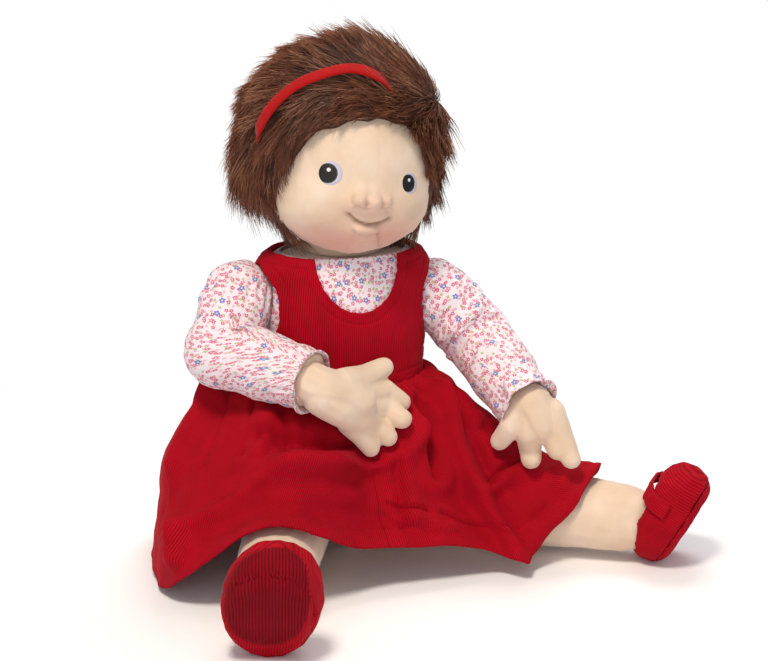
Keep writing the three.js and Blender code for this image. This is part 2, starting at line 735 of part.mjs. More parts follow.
// The opening of the shoe: an oval over the instep that leaves a toe cap and a heel
function shoeMouth(sideName) {
  const { toe, sole, wide, centre } = footEgg(sideName, 0);
  const middle = centre.clone().addScaledVector(sole, -footHalfHeight)
    .addScaledVector(toe, -footHalfLength * 0.1);
  const mouth = new THREE.SphereGeometry(1, 16, 8);
  const place = new THREE.Matrix4().makeBasis(
    toe.clone().multiplyScalar(footHalfLength * 0.66),
    wide.clone().multiplyScalar(footHalfWidth * 0.86),
    toe.clone().cross(wide).multiplyScalar(footHalfHeight * 0.95),
  ).setPosition(middle);
  return mouth.applyMatrix4(place);
}

function shoeUpper(sideName) {
  const outer = footEgg(sideName, clothGap + shoeThickness);
  const inner = footEgg(sideName, clothGap);
  const seam = outer.centre.clone().addScaledVector(outer.sole, soleDepth + clothGap - seamGap);
  return carve(outer.solid, [inner.solid, halfBlock(seam, outer.sole, torsoHeight), shoeMouth(sideName),
    legSolid(sideName, clothGap), floorBlock()]);
}

// The strap passes over the instep outside the shoe and ends on its sides
function shoeStrap(sideName) {
  const low = clothGap + shoeThickness + clothGap;
  const outer = footEgg(sideName, low + strapThickness);
  const inner = footEgg(sideName, low);
  const { toe, sole, centre } = outer;
  const near = centre.clone().addScaledVector(toe, footHalfLength * 0.12);
  const far = near.clone().addScaledVector(toe, strapWidth);
  const side = centre.clone().addScaledVector(sole, -footHalfHeight * 0.1);
  const size = torsoHeight;
  const ends = [halfBlock(near, toe.clone().negate(), size), halfBlock(far, toe, size)];
  const below = halfBlock(side, sole, size);
  return carve(outer.solid, [inner.solid, ...ends, below, legSolid(sideName, clothGap)]);
}

// Blouse and pinafore bodice: shells that follow the body, cut at the neck and the arms
const blouseShares = [0.45, 0.6, 0.75, 0.88, 0.94, 0.975, 1];

function blouseBody() {
  const heights = [blouseHem, ...blouseShares.map((share) => share * torsoHeight)];
  const collar = [0.3, 1].map((share) => torsoHeight + collarRise * share + clothGap);
  const ringsAt = (grow) => [
    ...heights.map((height) => torsoRing(height, grow)),
    ...collar.map((height) => torsoRing(height, grow)),
  ];
  const cutters = ['right', 'left'].flatMap(armRoom);
  return carve(sleeveOf(ringsAt(clothGap + blouseThickness), ringsAt(clothGap)), cutters);
}

const bodiceLow = 2 * clothGap + blouseThickness;
const bodiceShares = [0.588, 0.6, 0.67, 0.75, 0.82, 0.88, 0.94, 0.975, 0.99];

// A level oval bar from front to back that cuts an opening
function ovalBar(centre, halfWidth, halfHeight, length) {
  const bar = new THREE.CylinderGeometry(1, 1, 1, 24);
  bar.scale(halfWidth, length, halfHeight);
  return bar.translate(centre.x, centre.y, centre.z);
}

function bodice() {
  const ringsAt = (grow) => bodiceShares.map((share) => torsoRing(share * torsoHeight, grow));
  const shell = sleeveOf(ringsAt(bodiceLow + cordThickness), ringsAt(bodiceLow));
  const reach = torsoHalfDepth * 2;
  const [before, behind] = [-reach / 2, reach / 2].map((y) => at(neckShift, y, torsoHeight));
  const cutters = [
    ovalBar(before, neckScoopHalfWidth, neckScoopDepth, reach),
    ovalBar(behind, neckScoopHalfWidth, backScoopDepth, reach),
  ];
  for (const side of [-1, 1]) {
    const hole = new THREE.CylinderGeometry(1, 1, torsoHalfWidth, 24).rotateZ(Math.PI / 2);
    hole.scale(1, armholeDepth / 2, armholeHeight / 2);
    const inset = torsoHalfWidth * 1.36;
    cutters.push(hole.translate(side * inset, -shoulderForward, armholeLow + armholeHeight / 2));
  }
  return carve(shell, [...cutters, ...['right', 'left'].flatMap(armRoom)]);
}

// The strip that closes the pinafore down the middle of the back
function backPlacket() {
  const low = bodiceLow + cordThickness + clothGap;
  const shares = bodiceShares.slice(0, -2);
  const ringsAt = (grow) => shares.map((share) => torsoRing(share * torsoHeight, grow));
  const shell = sleeveOf(ringsAt(low + placketThickness), ringsAt(low));
  const strip = new THREE.BoxGeometry(placketWidth, torsoHalfDepth * 2, torsoHeight);
  return keep(shell, strip.translate(0, torsoHalfDepth + overrun, torsoHeight * 0.5));
}

// The hem, going round from behind the doll's right: turn from straight ahead, then reach
// and height as shares of the skirt's length, and how far the cloth above it stands out
const hemRows = [
  [-180, 0.64, 0.016, 0.7], [-150, 0.72, 0.016, 0.8], [-118, 0.84, 0.016, 0.9], [-95, 0.95, 0.016, 0.9],
  [-75, 1.09, 0.016, 0.8], [-62, 1.22, 0.016, 0.6], [-54, 1.24, 0.03, 0.5], [-42, 1.2, 0.26, 0.2],
  [-34, 1.19, 0.38, 0], [-26, 1.12, 0.34, 0], [-19, 0.98, 0.24, 0], [-11, 0.84, 0.18, 0], [0, 0.8, 0.18, 0],
  [12, 0.82, 0.18, 0], [26, 0.88, 0.15, 0], [38, 0.98, 0.07, 0], [46, 1.1, 0.03, 0], [52, 1.24, 0.04, 0],
  [58, 1.36, 0.28, 0], [64, 1.44, 0.42, 0], [71, 1.38, 0.34, 0], [80, 1.16, 0.1, 0.1],
  [100, 0.98, 0.016, 0.3], [125, 0.84, 0.016, 0.5], [150, 0.72, 0.016, 0.6], [180, 0.64, 0.016, 0.7],
];
const skirtSides = 56;
const skirtRows = 10;
const skirtPasses = 12;
const foldCount = 9;
const foldDepth = 4;
const gatherDepth = 3.4;
const gatherShare = 0.34;
const puffReach = 3;
const bulgeShare = 0.85;

// Moves a point out of a round limb, square to the limb's line
function pushOut(point, start, end, radius) {
  const line = new THREE.Line3(start, end);
  const nearest = line.closestPointToPoint(point, true, at(0, 0, 0));
  const away = point.clone().sub(nearest);
  const distance = away.length();
  if (distance < radius) point.copy(nearest).addScaledVector(away.normalize(), radius);
}

// The middle surface of the gathered skirt, from the waist seam to the hem
function skirtSurface() {
  const lines = Array.from({ length: skirtSides }, (_, j) => {
    const turn = (360 * j) / skirtSides - 180;
    const angle = radians(turn - 90);
    const waistRing = torsoRing(waistHeight, bodiceLow + cordThickness / 2);
    const place = ((angle / (2 * Math.PI)) * ringSides + 2 * ringSides) % ringSides;
    const [before, after] = [0, 1].map((step) => waistRing[(Math.floor(place) + step) % ringSides]);
    const waist = before.clone().lerp(after, place % 1).setZ(waistHeight - seamGap - skirtThickness / 2);
    const [reach, height, bulge] = readTable(hemRows, turn);
    const hem = at(
      Math.sin(radians(turn)) * reach * skirtLength,
      -Math.cos(radians(turn)) * reach * skirtLength,
      Math.max(height * skirtLength, hemClearance + skirtThickness / 2),
    );
    return Array.from({ length: skirtRows + 1 }, (__, i) => {
      const share = i / skirtRows;
      const round = (share * Math.PI) / 2;
      const out = THREE.MathUtils.lerp(share ** 0.92, Math.sin(round) ** bulgeShare, bulge);
      const point = waist.clone().lerp(hem, out);
      const drop = THREE.MathUtils.lerp((1 - share) ** 1.5, Math.cos(round), bulge);
      point.z = THREE.MathUtils.lerp(hem.z, waist.z, drop);
      const puff = puffReach * Math.exp(-(((share - 0.1) / 0.1) ** 2)) * bulge;
      const outwards = at(Math.sin(radians(turn)), -Math.cos(radians(turn)), 0);
      return point.addScaledVector(outwards, puff * (i > 0));
    });
  });
  clearOfLimbs(lines, skirtPasses);
  foldCloth(lines);
  clearOfLimbs(lines, 1);
  return lines;
}

// The main folds run down the cloth and are deepest below the middle. The gathers at the
// waist seam are every other line, and they fade on the way down.
function foldCloth(lines) {
  lines.forEach((line, j) => {
    const turn = (2 * Math.PI * j) / skirtSides;
    const outwards = at(-Math.sin(turn), Math.cos(turn), 0);
    line.forEach((point, i) => {
      const share = i / skirtRows;
      const wave = Math.cos(turn * foldCount) + 0.5 * Math.cos(turn * (foldCount - 4) + 1);
      const depth = foldDepth * wave * share ** 0.6 * (1 - 0.35 * share);
      const gather = i > 0 && j % 2 > 0 ? gatherDepth * Math.exp(-((share / gatherShare) ** 2)) : 0;
      point.addScaledVector(outwards, depth * 0.6 + gather * 0.7);
      point.z += Math.abs(depth) * 0.5 + depth * 0.3 + gather * 0.7;
    });
  });
}

// Lifts the cloth off the legs and hands that it lies on, then eases the creases that leaves
function clearOfLimbs(lines, passes) {
  const room = skirtThickness / 2 + clothGap * 3;
  for (let pass = 0; pass < passes; pass += 1) {
    for (const line of lines) {
      line.forEach((point, i) => {
        if (i === 0) return;
        for (const sideName of ['right', 'left']) {
          const { hip, ankle } = legLine(sideName);
          pushOut(point, hip, ankle, thighRadius + room + 2 * clothGap);
          const { elbow, wrist, palmEnd } = armLine(sideName);
          const fingers = palmEnd.clone().addScaledVector(heading(pose[sideName].hand), fingerLength);
          pushOut(point, elbow, wrist, elbowRadius + sleeveSpace + room);
          pushOut(point, wrist, fingers, palmHalfWidth * 0.9 + room);
        }
        point.z = Math.max(point.z, hemClearance + skirtThickness / 2);
        const inset = Math.hypot(line[0].x, line[0].y) + seamGap - Math.hypot(point.x, point.y);
        if (inset > 0) point.addScaledVector(at(line[0].x, line[0].y, 0).normalize(), inset);
      });
    }
    if (pass === passes - 1) return;
    lines.forEach((line, j) => line.forEach((point, i) => {
      if (i === 0) return;
      const before = lines[(j + skirtSides - 1) % skirtSides][i];
      const after = lines[(j + 1) % skirtSides][i];
      if (i === skirtRows) {
        point.lerp(before.clone().add(after).divideScalar(2), 0.22);
        return;
      }
      const middle = before.clone().add(after).add(line[i - 1]).add(line[i + 1]).divideScalar(4);
      point.lerp(middle, 0.2);
    }));
  }
}

// A sheet given its thickness, half of it to each side of the middle surface
function skirt() {
  const lines = skirtSurface();
  const rings = (offset) => Array.from({ length: skirtRows + 1 }, (_, i) => lines.map((line, j) => {
    const across = lines[(j + 1) % skirtSides][i].clone().sub(lines[(j + skirtSides - 1) % skirtSides][i]);
    const down = line[Math.min(i + 1, skirtRows)].clone().sub(line[Math.max(i - 1, 0)]);
    const normal = at(0, 0, 0).crossVectors(across, down).normalize().negate();
    return line[i].clone().addScaledVector(normal, offset);
  }));
  return sleeveOf(rings(skirtThickness / 2), rings(-skirtThickness / 2));
}

// The doll
const doll = new THREE.Group();

function add(name, geometry, finish) {
  geometry.deleteAttribute('uv');
  geometry.computeVertexNormals();
  const mesh = new THREE.Mesh(geometry, new THREE.MeshStandardMaterial(finish));
  mesh.name = name;
  doll.add(mesh);
}

add('torso', torso(), cream);
add('neck', neck(), cream);
add('head', head(), cream);
add('hair', hair(), brownPile);
add('headband', bandTube(0), redKnit);
add('blouse_body', blouseBody(), printCotton);
add('pinafore_bodice', bodice(), redCord);
add('back_placket', backPlacket(), redCord);
add('pinafore_skirt', skirt(), redCord);
for (const sideName of ['right', 'left']) {
  const { side } = pose[sideName];
  add(`eye_${sideName}`, eye(side), blackThread);
  add(`ear_${sideName}`, ear(side), cream);
  add(`upper_arm_${sideName}`, upperArmSolid(sideName), cream);
  add(`forearm_${sideName}`, forearm(sideName), cream);
  add(`hand_${sideName}`, hand(sideName), cream);
  add(`blouse_sleeve_${sideName}`, blouseSleeve(sideName), printCotton);
  add(`leg_${sideName}`, legSolid(sideName), cream);
  add(`foot_${sideName}`, foot(sideName), cream);
  add(`shoe_sole_${sideName}`, shoeSole(sideName), redCord);
  add(`shoe_upper_${sideName}`, shoeUpper(sideName), redCord);
  add(`shoe_strap_${sideName}`, shoeStrap(sideName), redCord);
}

export default doll;
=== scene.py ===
import json
import math
from functools import partial

import bmesh
import bpy
import numpy as np
from mathutils import Matrix, Vector
from mathutils.bvhtree import BVHTree
from mathutils.kdtree import KDTree

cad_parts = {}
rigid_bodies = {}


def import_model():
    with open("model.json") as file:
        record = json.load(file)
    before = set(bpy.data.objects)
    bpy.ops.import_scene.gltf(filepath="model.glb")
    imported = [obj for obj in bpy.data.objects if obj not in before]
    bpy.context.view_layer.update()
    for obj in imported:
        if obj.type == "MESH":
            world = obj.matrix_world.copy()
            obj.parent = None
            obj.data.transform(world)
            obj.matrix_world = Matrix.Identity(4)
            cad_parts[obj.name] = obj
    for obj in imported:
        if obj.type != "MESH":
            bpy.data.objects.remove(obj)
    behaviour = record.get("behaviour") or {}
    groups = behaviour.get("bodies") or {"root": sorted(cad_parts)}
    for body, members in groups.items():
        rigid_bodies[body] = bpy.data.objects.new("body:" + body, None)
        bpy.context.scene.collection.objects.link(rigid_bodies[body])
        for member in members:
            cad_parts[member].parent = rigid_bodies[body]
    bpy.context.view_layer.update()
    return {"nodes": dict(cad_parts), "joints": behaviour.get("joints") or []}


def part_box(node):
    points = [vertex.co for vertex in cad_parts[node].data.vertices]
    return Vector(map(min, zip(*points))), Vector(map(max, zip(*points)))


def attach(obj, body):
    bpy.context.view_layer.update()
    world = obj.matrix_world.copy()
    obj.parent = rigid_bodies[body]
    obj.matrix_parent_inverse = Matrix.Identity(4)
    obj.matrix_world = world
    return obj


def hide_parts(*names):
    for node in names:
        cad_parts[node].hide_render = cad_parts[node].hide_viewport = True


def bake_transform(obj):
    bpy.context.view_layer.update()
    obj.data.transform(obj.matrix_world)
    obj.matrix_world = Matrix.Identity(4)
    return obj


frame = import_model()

# A seated cloth doll: brushed jersey skin, faux-fur hair, a printed poplin blouse and a
# corduroy pinafore with matching strap shoes. Metres, +Z up; the doll faces -Y.
MM = 0.001
SIDES = ("right", "left")
SIGN = {"right": -1, "left": 1}

# The picture's frame and the camera that took it
IMAGE_WIDTH, IMAGE_HEIGHT = 768, 661
CAMERA_TURN = math.radians(-18)
CAMERA_RISE = math.radians(15)
CAMERA_DISTANCE = 1300 * MM
CAMERA_AIM = Vector((18, -40, 143)) * MM
CAMERA_LENS = 100
SENSOR_WIDTH = 36
LAMP_AIM = Vector((0, -20, 130)) * MM

# The head's own frame: its middle, and how it is turned and tilted on the neck
HEAD_MIDDLE = Vector((6, -7, 244)) * MM
HEAD_TURN = math.radians(-3)
HEAD_TILT = math.radians(5)
HEAD_FRAME = (
    Matrix.Translation(HEAD_MIDDLE) @ Matrix.Rotation(HEAD_TILT, 4, "Y") @ Matrix.Rotation(HEAD_TURN, 4, "Z")
)

# Limbs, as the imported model's joints place them
JOINT = {joint["name"]: Vector(joint["pos_m"]) for joint in frame["joints"]}


def linear(code):
    """An sRGB hex colour as linear RGBA."""
    parts = [int(code[i:i + 2], 16) / 255 for i in (0, 2, 4)]
    return [c / 12.92 if c <= 0.04045 else ((c + 0.055) / 1.055) ** 2.4 for c in parts] + [1.0]


def add(tree, kind, inputs=(), **settings):
    """Adds one node with its settings; an input is a value or another node's output."""
    made = tree.nodes.new(kind)
    for key, value in settings.items():
        setattr(made, key, value)
    for key, value in dict(inputs).items():
        if isinstance(value, bpy.types.NodeSocket):
            tree.links.new(value, made.inputs[key])
        else:
            made.inputs[key].default_value = value
    return made


def material(name, **sockets):
    """A Principled material with uniform values set on its own sockets."""
    made = bpy.data.materials.new(name)
    made.use_nodes = True
    shader = made.node_tree.nodes["Principled BSDF"]
    for key, value in sockets.items():
        shader.inputs[key.replace("_", " ")].default_value = value
    return made, made.node_tree, shader


def ramp(tree, factor, stops):
    made = add(tree, "ShaderNodeValToRGB", {"Fac": factor})
    for spot, (place, code) in enumerate(stops):
        stop = made.color_ramp.elements[spot] if spot < 2 else made.color_ramp.elements.new(place)
        stop.position = place
        stop.color = linear(code)
    return made.outputs["Color"]


def calc(tree, operation, *values):
    made = add(tree, "ShaderNodeMath", dict(enumerate(values)), operation=operation)
    return made.outputs[0]


def blend_color(tree, factor, first, second):
    return add(tree, "ShaderNodeMix", {0: factor, 6: first, 7: second}, data_type="RGBA").outputs[2]


def vector(tree, operation, *values):
    """Vector maths; SCALE takes its number on the fourth input, as the node has it."""
    places = (0, 3) if operation == "SCALE" else (0, 1)
    made = add(tree, "ShaderNodeVectorMath", dict(zip(places, values)), operation=operation)
    return made.outputs[1 if operation in ("DOT_PRODUCT", "LENGTH") else 0]


def own_place(tree):
    return add(tree, "ShaderNodeTexCoord").outputs["Object"]


def noise(tree, place, scale, detail=2.0):
    return add(tree, "ShaderNodeTexNoise", {"Vector": place, "Scale": scale, "Detail": detail}).outputs["Fac"]


def dress(tree, shader, colour, height=None, strength=0, depth=0):
    """Gives a shader its colour, and a bump of this depth in metres."""
    tree.links.new(colour, shader.inputs["Base Color"])
    if height is not None:
        bump = add(tree, "ShaderNodeBump", {"Height": height, "Strength": strength, "Distance": depth})
        tree.links.new(bump.outputs["Normal"], shader.inputs["Normal"])


def attribute(tree, name, output="Fac"):
    return add(tree, "ShaderNodeAttribute", attribute_name=name).outputs[output]


def jersey_skin():
    # Brushed cotton jersey: matt and slightly furry, with a fine knit and a warm tint that wanders; the
    # attribute "blush" says where it is flushed, and the darkening attribute says where it is stitched and
    # where shade is painted into its creases and hollows
    made, tree, shader = material("brushed_cotton_jersey", Roughness=0.9, Sheen_Weight=0.35,
                                  Sheen_Roughness=0.5, Specular_IOR_Level=0.15)
    place = own_place(tree)
    base = ramp(tree, noise(tree, place, 45.0, 3.0), ((0.3, "dcc0a2"), (0.72, "ead4bd")))
    flushed = blend_color(tree, attribute(tree, "blush"), base, linear("d3937f"))
    # Darker along the stitching, with painted shade in the creases and hollows
    stitched_and_shaded = blend_color(tree, attribute(tree, "seam_and_crease_shade"), flushed, linear("9c7358"))
    fuzz = calc(tree, "MULTIPLY", noise(tree, place, 900.0), 0.7)
    knit = add(tree, "ShaderNodeTexVoronoi", {"Vector": place, "Scale": 1400.0}).outputs["Distance"]
    dress(tree, shader, stitched_and_shaded, calc(tree, "ADD", fuzz, calc(tree, "MULTIPLY", knit, 0.5)), 0.35, 0.4 * MM)
    return made


CORD_PITCH = 1.5 * MM


def corduroy(name, dark, light, groove_shade_code):
    # Fine-wale cotton corduroy, dyed red: rounded cords 1.5 mm apart along the attribute "wale", with painted
    # shade in the grooves between them, and a pile that lies a little differently here and there
    made, tree, shader = material(name, Roughness=0.85, Sheen_Weight=0.12, Sheen_Roughness=0.45,
                                  Sheen_Tint=linear("ff4050"), Specular_IOR_Level=0.12)
    place = own_place(tree)
    turns = calc(tree, "MULTIPLY", attribute(tree, "wale"), 2 * math.pi / CORD_PITCH)
    cord = calc(tree, "POWER", calc(tree, "MULTIPLY_ADD", calc(tree, "SINE", turns), 0.5, 0.5), 0.55)
    pile = noise(tree, place, 1500.0)
    wander = calc(tree, "MULTIPLY", noise(tree, place, 60.0), 0.55)
    tone = calc(tree, "ADD", wander, calc(tree, "MULTIPLY", pile, 0.45))
    # The grooves take a darker colour: painted shade
    colour = blend_color(tree, cord, linear(groove_shade_code), ramp(tree, tone, ((0.3, dark), (0.7, light))))
    dress(tree, shader, colour, calc(tree, "ADD", cord, calc(tree, "MULTIPLY", pile, 0.25)), 0.34, 0.4 * MM)
    return made


def flower_layer(tree, uv, pitch, petal_radius, petals, seed, under, code, share):
    """Scatters small flowers of one kind over what lies under them; share is how many cells bloom."""
    moved = vector(tree, "ADD", uv, (seed, seed * 0.7, 0))
    cells = add(tree, "ShaderNodeTexVoronoi", {"Vector": moved, "Scale": 1 / pitch, "Randomness": 0.75},
                voronoi_dimensions="2D")
    inward = vector(tree, "SUBTRACT", moved, cells.outputs["Position"])
    away = vector(tree, "LENGTH", inward)
    split = add(tree, "ShaderNodeSeparateXYZ", {0: inward}).outputs
    chance = add(tree, "ShaderNodeSeparateColor", {0: cells.outputs["Color"]}).outputs
    turned = calc(tree, "MULTIPLY_ADD", chance[0], 6.0, calc(tree, "ARCTAN2", split[1], split[0]))
    lobes = calc(tree, "ABSOLUTE", calc(tree, "SINE", calc(tree, "MULTIPLY", turned, petals / 2)))
    edge = calc(tree, "MULTIPLY", calc(tree, "MULTIPLY_ADD", lobes, 0.45, 0.55), petal_radius)
    blooms = calc(tree, "LESS_THAN", chance[1], share)
    petal = calc(tree, "MULTIPLY", calc(tree, "LESS_THAN", away, edge), blooms)
    eye = calc(tree, "MULTIPLY", calc(tree, "LESS_THAN", away, petal_radius * 0.25), blooms)
    return blend_color(tree, eye, blend_color(tree, petal, under, linear(code)), linear("f0e2c0"))


def printed_poplin():
    # Fine plain-weave cotton, screen printed with small scattered flowers on off-white;
    # the weave shows as a faint tooth, and the print follows the cloth's own UV map in metres
    made, tree, shader = material("printed_cotton_poplin", Roughness=0.82, Sheen_Weight=0.1,
                                  Specular_IOR_Level=0.2)
    uv = add(tree, "ShaderNodeUVMap", uv_map="cloth").outputs["UV"]
    colour = linear("ece1e4")
    # Pitch and petal radius in mm, petals, seed, colour, share of places that bloom
    for pitch, radius, petals, seed, code, share in (
        (4.4, 1.0, 4, 0.31, "a9b36b", 0.55),
        (3.6, 0.95, 5, 0.77, "e0a0b3", 0.75),
        (4.6, 1.3, 5, 0.13, "cf5f84", 0.72),
        (5.6, 1.5, 5, 0.57, "d97d9c", 0.6),
        (11.0, 2.0, 5, 0.91, "7288c2", 0.5),
    ):
        colour = flower_layer(tree, uv, pitch * MM, radius * MM, petals, seed, colour, code, share)
    dress(tree, shader, colour, noise(tree, uv, 2500.0, 1.0), 0.2, 0.2 * MM)
    return made


def fur_fibre():
    # Long acrylic fur pile: glossy brown fibres, each its own shade, darker at the root with painted shade of
    # the deep pile
    made, tree, shader = material("acrylic_fur_pile", Roughness=0.42, Specular_IOR_Level=0.35)
    tint = attribute(tree, "tint")
    # The root colours are painted shade deep in the pile
    root = ramp(tree, tint, ((0.0, "23110b"), (1.0, "40231a")))
    tip = ramp(tree, tint, ((0.0, "5a2f1d"), (0.45, "7d4830"), (0.8, "9c6446"), (1.0, "bd8a6a")))
    dress(tree, shader, blend_color(tree, attribute(tree, "along"), root, tip))
    return made


def fur_ground():
    # The knitted ground of the fur, which only shows between the fibres: its dark brown is painted shade of
    # the deep pile
    made, tree, shader = material("fur_ground", Roughness=1.0)
    dress(tree, shader, ramp(tree, noise(tree, own_place(tree), 400.0), ((0.3, "2c170e"), (0.7, "4d2c1d"))))
    return made


def knitted_yarn():
    # A flat band of knitted red yarn: its stitches are in the mesh, the fibres in the bump
    made, tree, shader = material("knitted_red_yarn", Roughness=0.9, Sheen_Weight=0.08,
                                  Specular_IOR_Level=0.1)
    fibres = noise(tree, own_place(tree), 1800.0, 3.0)
    dress(tree, shader, ramp(tree, fibres, ((0.3, "85080a"), (0.7, "bd1614"))), fibres, 0.5, 0.3 * MM)
    return made


def eye_thread(side):
    # Satin-stitched embroidery: shiny rayon threads side by side, black for the pupil, dark
    # green round it, pale lilac for the white and one pale catchlight
    made, tree, shader = material(f"satin_stitch_{side}", Roughness=0.38, Specular_IOR_Level=0.35)
    spot = attribute(tree, "eye", "Vector")
    colour = linear("cfc9dc")
    # Discs over the white: middle and radius in half widths of the eye
    for x, y, radius, code in (
        (-0.24, 0.0, 0.84, "1b2f22"), (-0.28, 0.0, 0.74, "070606"), (-0.16, -0.3, 0.17, "f2eff5"),
    ):
        away = vector(tree, "LENGTH", vector(tree, "SUBTRACT", spot, (x, y, 0)))
        colour = blend_color(tree, calc(tree, "LESS_THAN", away, radius), colour, linear(code))
    down = add(tree, "ShaderNodeSeparateXYZ", {0: spot}).outputs[1]
    threads = calc(tree, "SINE", calc(tree, "MULTIPLY", down, 75.0))
    dress(tree, shader, colour, threads, 0.6, 0.2 * MM)
    return made


SKIN = jersey_skin()
CORD = corduroy("fine_wale_corduroy", "9e0015", "c20320", "7c000e")
# The same cloth in darker colours, as painted shade for the right shoe's sole panel, which faces away from
# the light
CORD_SHADED = corduroy("fine_wale_corduroy_painted_shade", "7a000e", "930418", "4a0008")
PRINT = printed_poplin()
FUR = fur_fibre()
GROUND = fur_ground()
YARN = knitted_yarn()


def new_object(name, mesh, finish):
    made = bpy.data.objects.new(name, mesh)
    bpy.context.scene.collection.objects.link(made)
    mesh.materials.clear()
    mesh.materials.append(finish)
    return made


def face_outward(mesh):
    work = bmesh.new()
    work.from_mesh(mesh)
    bmesh.ops.recalc_face_normals(work, faces=work.faces)
    work.to_mesh(mesh)
    work.free()
    mesh.shade_smooth()


def bake(piece):
    """Turns what the modifiers make into the piece's own mesh."""
    bpy.context.view_layer.update()
    view = bpy.context.evaluated_depsgraph_get()
    mesh = bpy.data.meshes.new_from_object(piece.evaluated_get(view))
    piece.modifiers.clear()
    old, piece.data = piece.data, mesh
    bpy.data.meshes.remove(old)
    mesh.name = piece.name
    mesh.shade_smooth()
    return piece


def evened(name, mesh, finish, voxel, smoothing):
    """Turns a rough mesh into fine, even cloth: remeshed at voxel, then smoothed."""
    piece = new_object(name, mesh, finish)
    remesh = piece.modifiers.new("remesh", "REMESH")
    remesh.mode = "VOXEL"
    remesh.voxel_size = voxel
    if smoothing:
        soft = piece.modifiers.new("smooth", "SMOOTH")
        soft.factor = 0.5
        soft.iterations = smoothing
    bake(piece)
    piece.data.materials.clear()
    piece.data.materials.append(finish)
    return piece


def mesh_from(work, name):
    mesh = bpy.data.meshes.new(name)
    work.to_mesh(mesh)
    work.free()
    return mesh


def cloth_copy(node, name, finish, voxel, smoothing):
    """A node's solid as fine, even cloth."""
    work = bmesh.new()
    work.from_mesh(frame["nodes"][node].data)
    bmesh.ops.remove_doubles(work, verts=work.verts, dist=0.00001)
    return evened(name, mesh_from(work, name), finish, voxel, smoothing)


def read(items, name, width=1):
    """One number or vector of each item, as an array."""
    values = np.empty(len(items) * width)
    items.foreach_get(name, values)
    return values.reshape(-1, width) if width > 1 else values


def points_of(piece):
    return read(piece.data.vertices, "co", 3)


def normals_of(piece):
    return read(piece.data.vertex_normals, "vector", 3)


def move_points(piece, points):
    piece.data.vertices.foreach_set("co", points.reshape(-1).astype(np.float32))
    piece.data.update()


def store(piece, name, values, kind="FLOAT"):
    made = piece.data.attributes.get(name) or piece.data.attributes.new(name, kind, "POINT")
    flat = np.asarray(values, np.float32).reshape(-1)
    made.data.foreach_set("value" if kind == "FLOAT" else "vector", flat)


def place(piece, body, slot, *nodes):
    """Seats a finished piece: the body it rides on, its finish, which is not used, and the solids it stands
    for.
    """
    if body:
        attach(piece, body)
    if nodes:
        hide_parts(*nodes)
    return piece


def stuff(piece, body, node):
    """Seats a cloth piece that is stuffed with cotton."""
    place(piece, body, "stuffed_cotton", node)


def smoothstep(low, high, values):
    share = np.clip((values - low) / (high - low), 0, 1)
    return share * share * (3 - 2 * share)


def unit(vectors):
    return vectors / np.maximum(np.linalg.norm(vectors, axis=-1, keepdims=True), 1e-9)


def flattened(vectors, normals):
    """Vectors with what points along the normals taken out."""
    return vectors - normals * (vectors * normals).sum(axis=1, keepdims=True)


def bell(values, width):
    """1 where a value is zero, fading to 0.37 at one width from it."""
    return np.exp(-((values / width) ** 2))


def near_spots(points, spots):
    """Each point's distance to the nearest of some spots, and which one that is."""
    gaps, which = np.empty(len(points)), np.empty(len(points), int)
    for first in range(0, len(points), 1500):
        part = slice(first, first + 1500)
        away = np.linalg.norm(points[part, None] - spots[None], axis=2)
        gaps[part], which[part] = away.min(axis=1), away.argmin(axis=1)
    return gaps, which


def wave_noise(points, scale, seed):
    """Smooth noise from a few sine waves, for wrinkles and dimples that repeat on every run."""
    draw = np.random.default_rng(seed)
    flat = points.reshape(-1, 3)
    total = np.zeros(len(flat))
    for _ in range(6):
        way = draw.normal(size=3)
        way /= np.linalg.norm(way)
        total += np.sin(flat @ way * (2 * math.pi / scale) * draw.uniform(0.7, 1.5) + draw.uniform(0, 6.28))
    return (total / 6).reshape(points.shape[:-1])


def lengths_along(line):
    """How far each point of a line is from its start."""
    return np.concatenate([[0], np.cumsum(np.linalg.norm(np.diff(line, axis=0), axis=1))])


def sampled(line, stops, spots, period=None):
    """A line's points at these spots; stops are the places of its own corners."""
    return np.stack([np.interp(spots, stops, values, period=period) for values in np.array(line).T], axis=1)


def eased_ring(line, passes):
    for _ in range(passes):
        line = 0.5 * line + 0.25 * (np.roll(line, 1, axis=0) + np.roll(line, -1, axis=0))
    return line


def edges_of(faces):
    return np.concatenate([faces[:, [0, 1]], faces[:, [1, 2]], faces[:, [2, 0]]])


def eased_over(values, pairs, passes):
    """Moves each corner's value halfway to its neighbours' mean, some times over."""
    for _ in range(passes):
        total, count = np.zeros_like(values), np.zeros(len(values))
        np.add.at(total, pairs[:, 0], values[pairs[:, 1]])
        np.add.at(count, pairs[:, 0], 1)
        values = 0.5 * values + 0.5 * (total.T / np.maximum(count, 1)).T
    return values


def near_line(points, path):
    """Each point's distance to a polyline."""
    best = np.full(len(points), np.inf)
    for start, end in zip(path[:-1], path[1:]):
        start, end = np.asarray(start), np.asarray(end)
        line = end - start
        share = np.clip(((points - start) @ line) / (line @ line), 0, 1)
        best = np.minimum(best, np.linalg.norm(points - start - share[:, None] * line, axis=1))
    return best


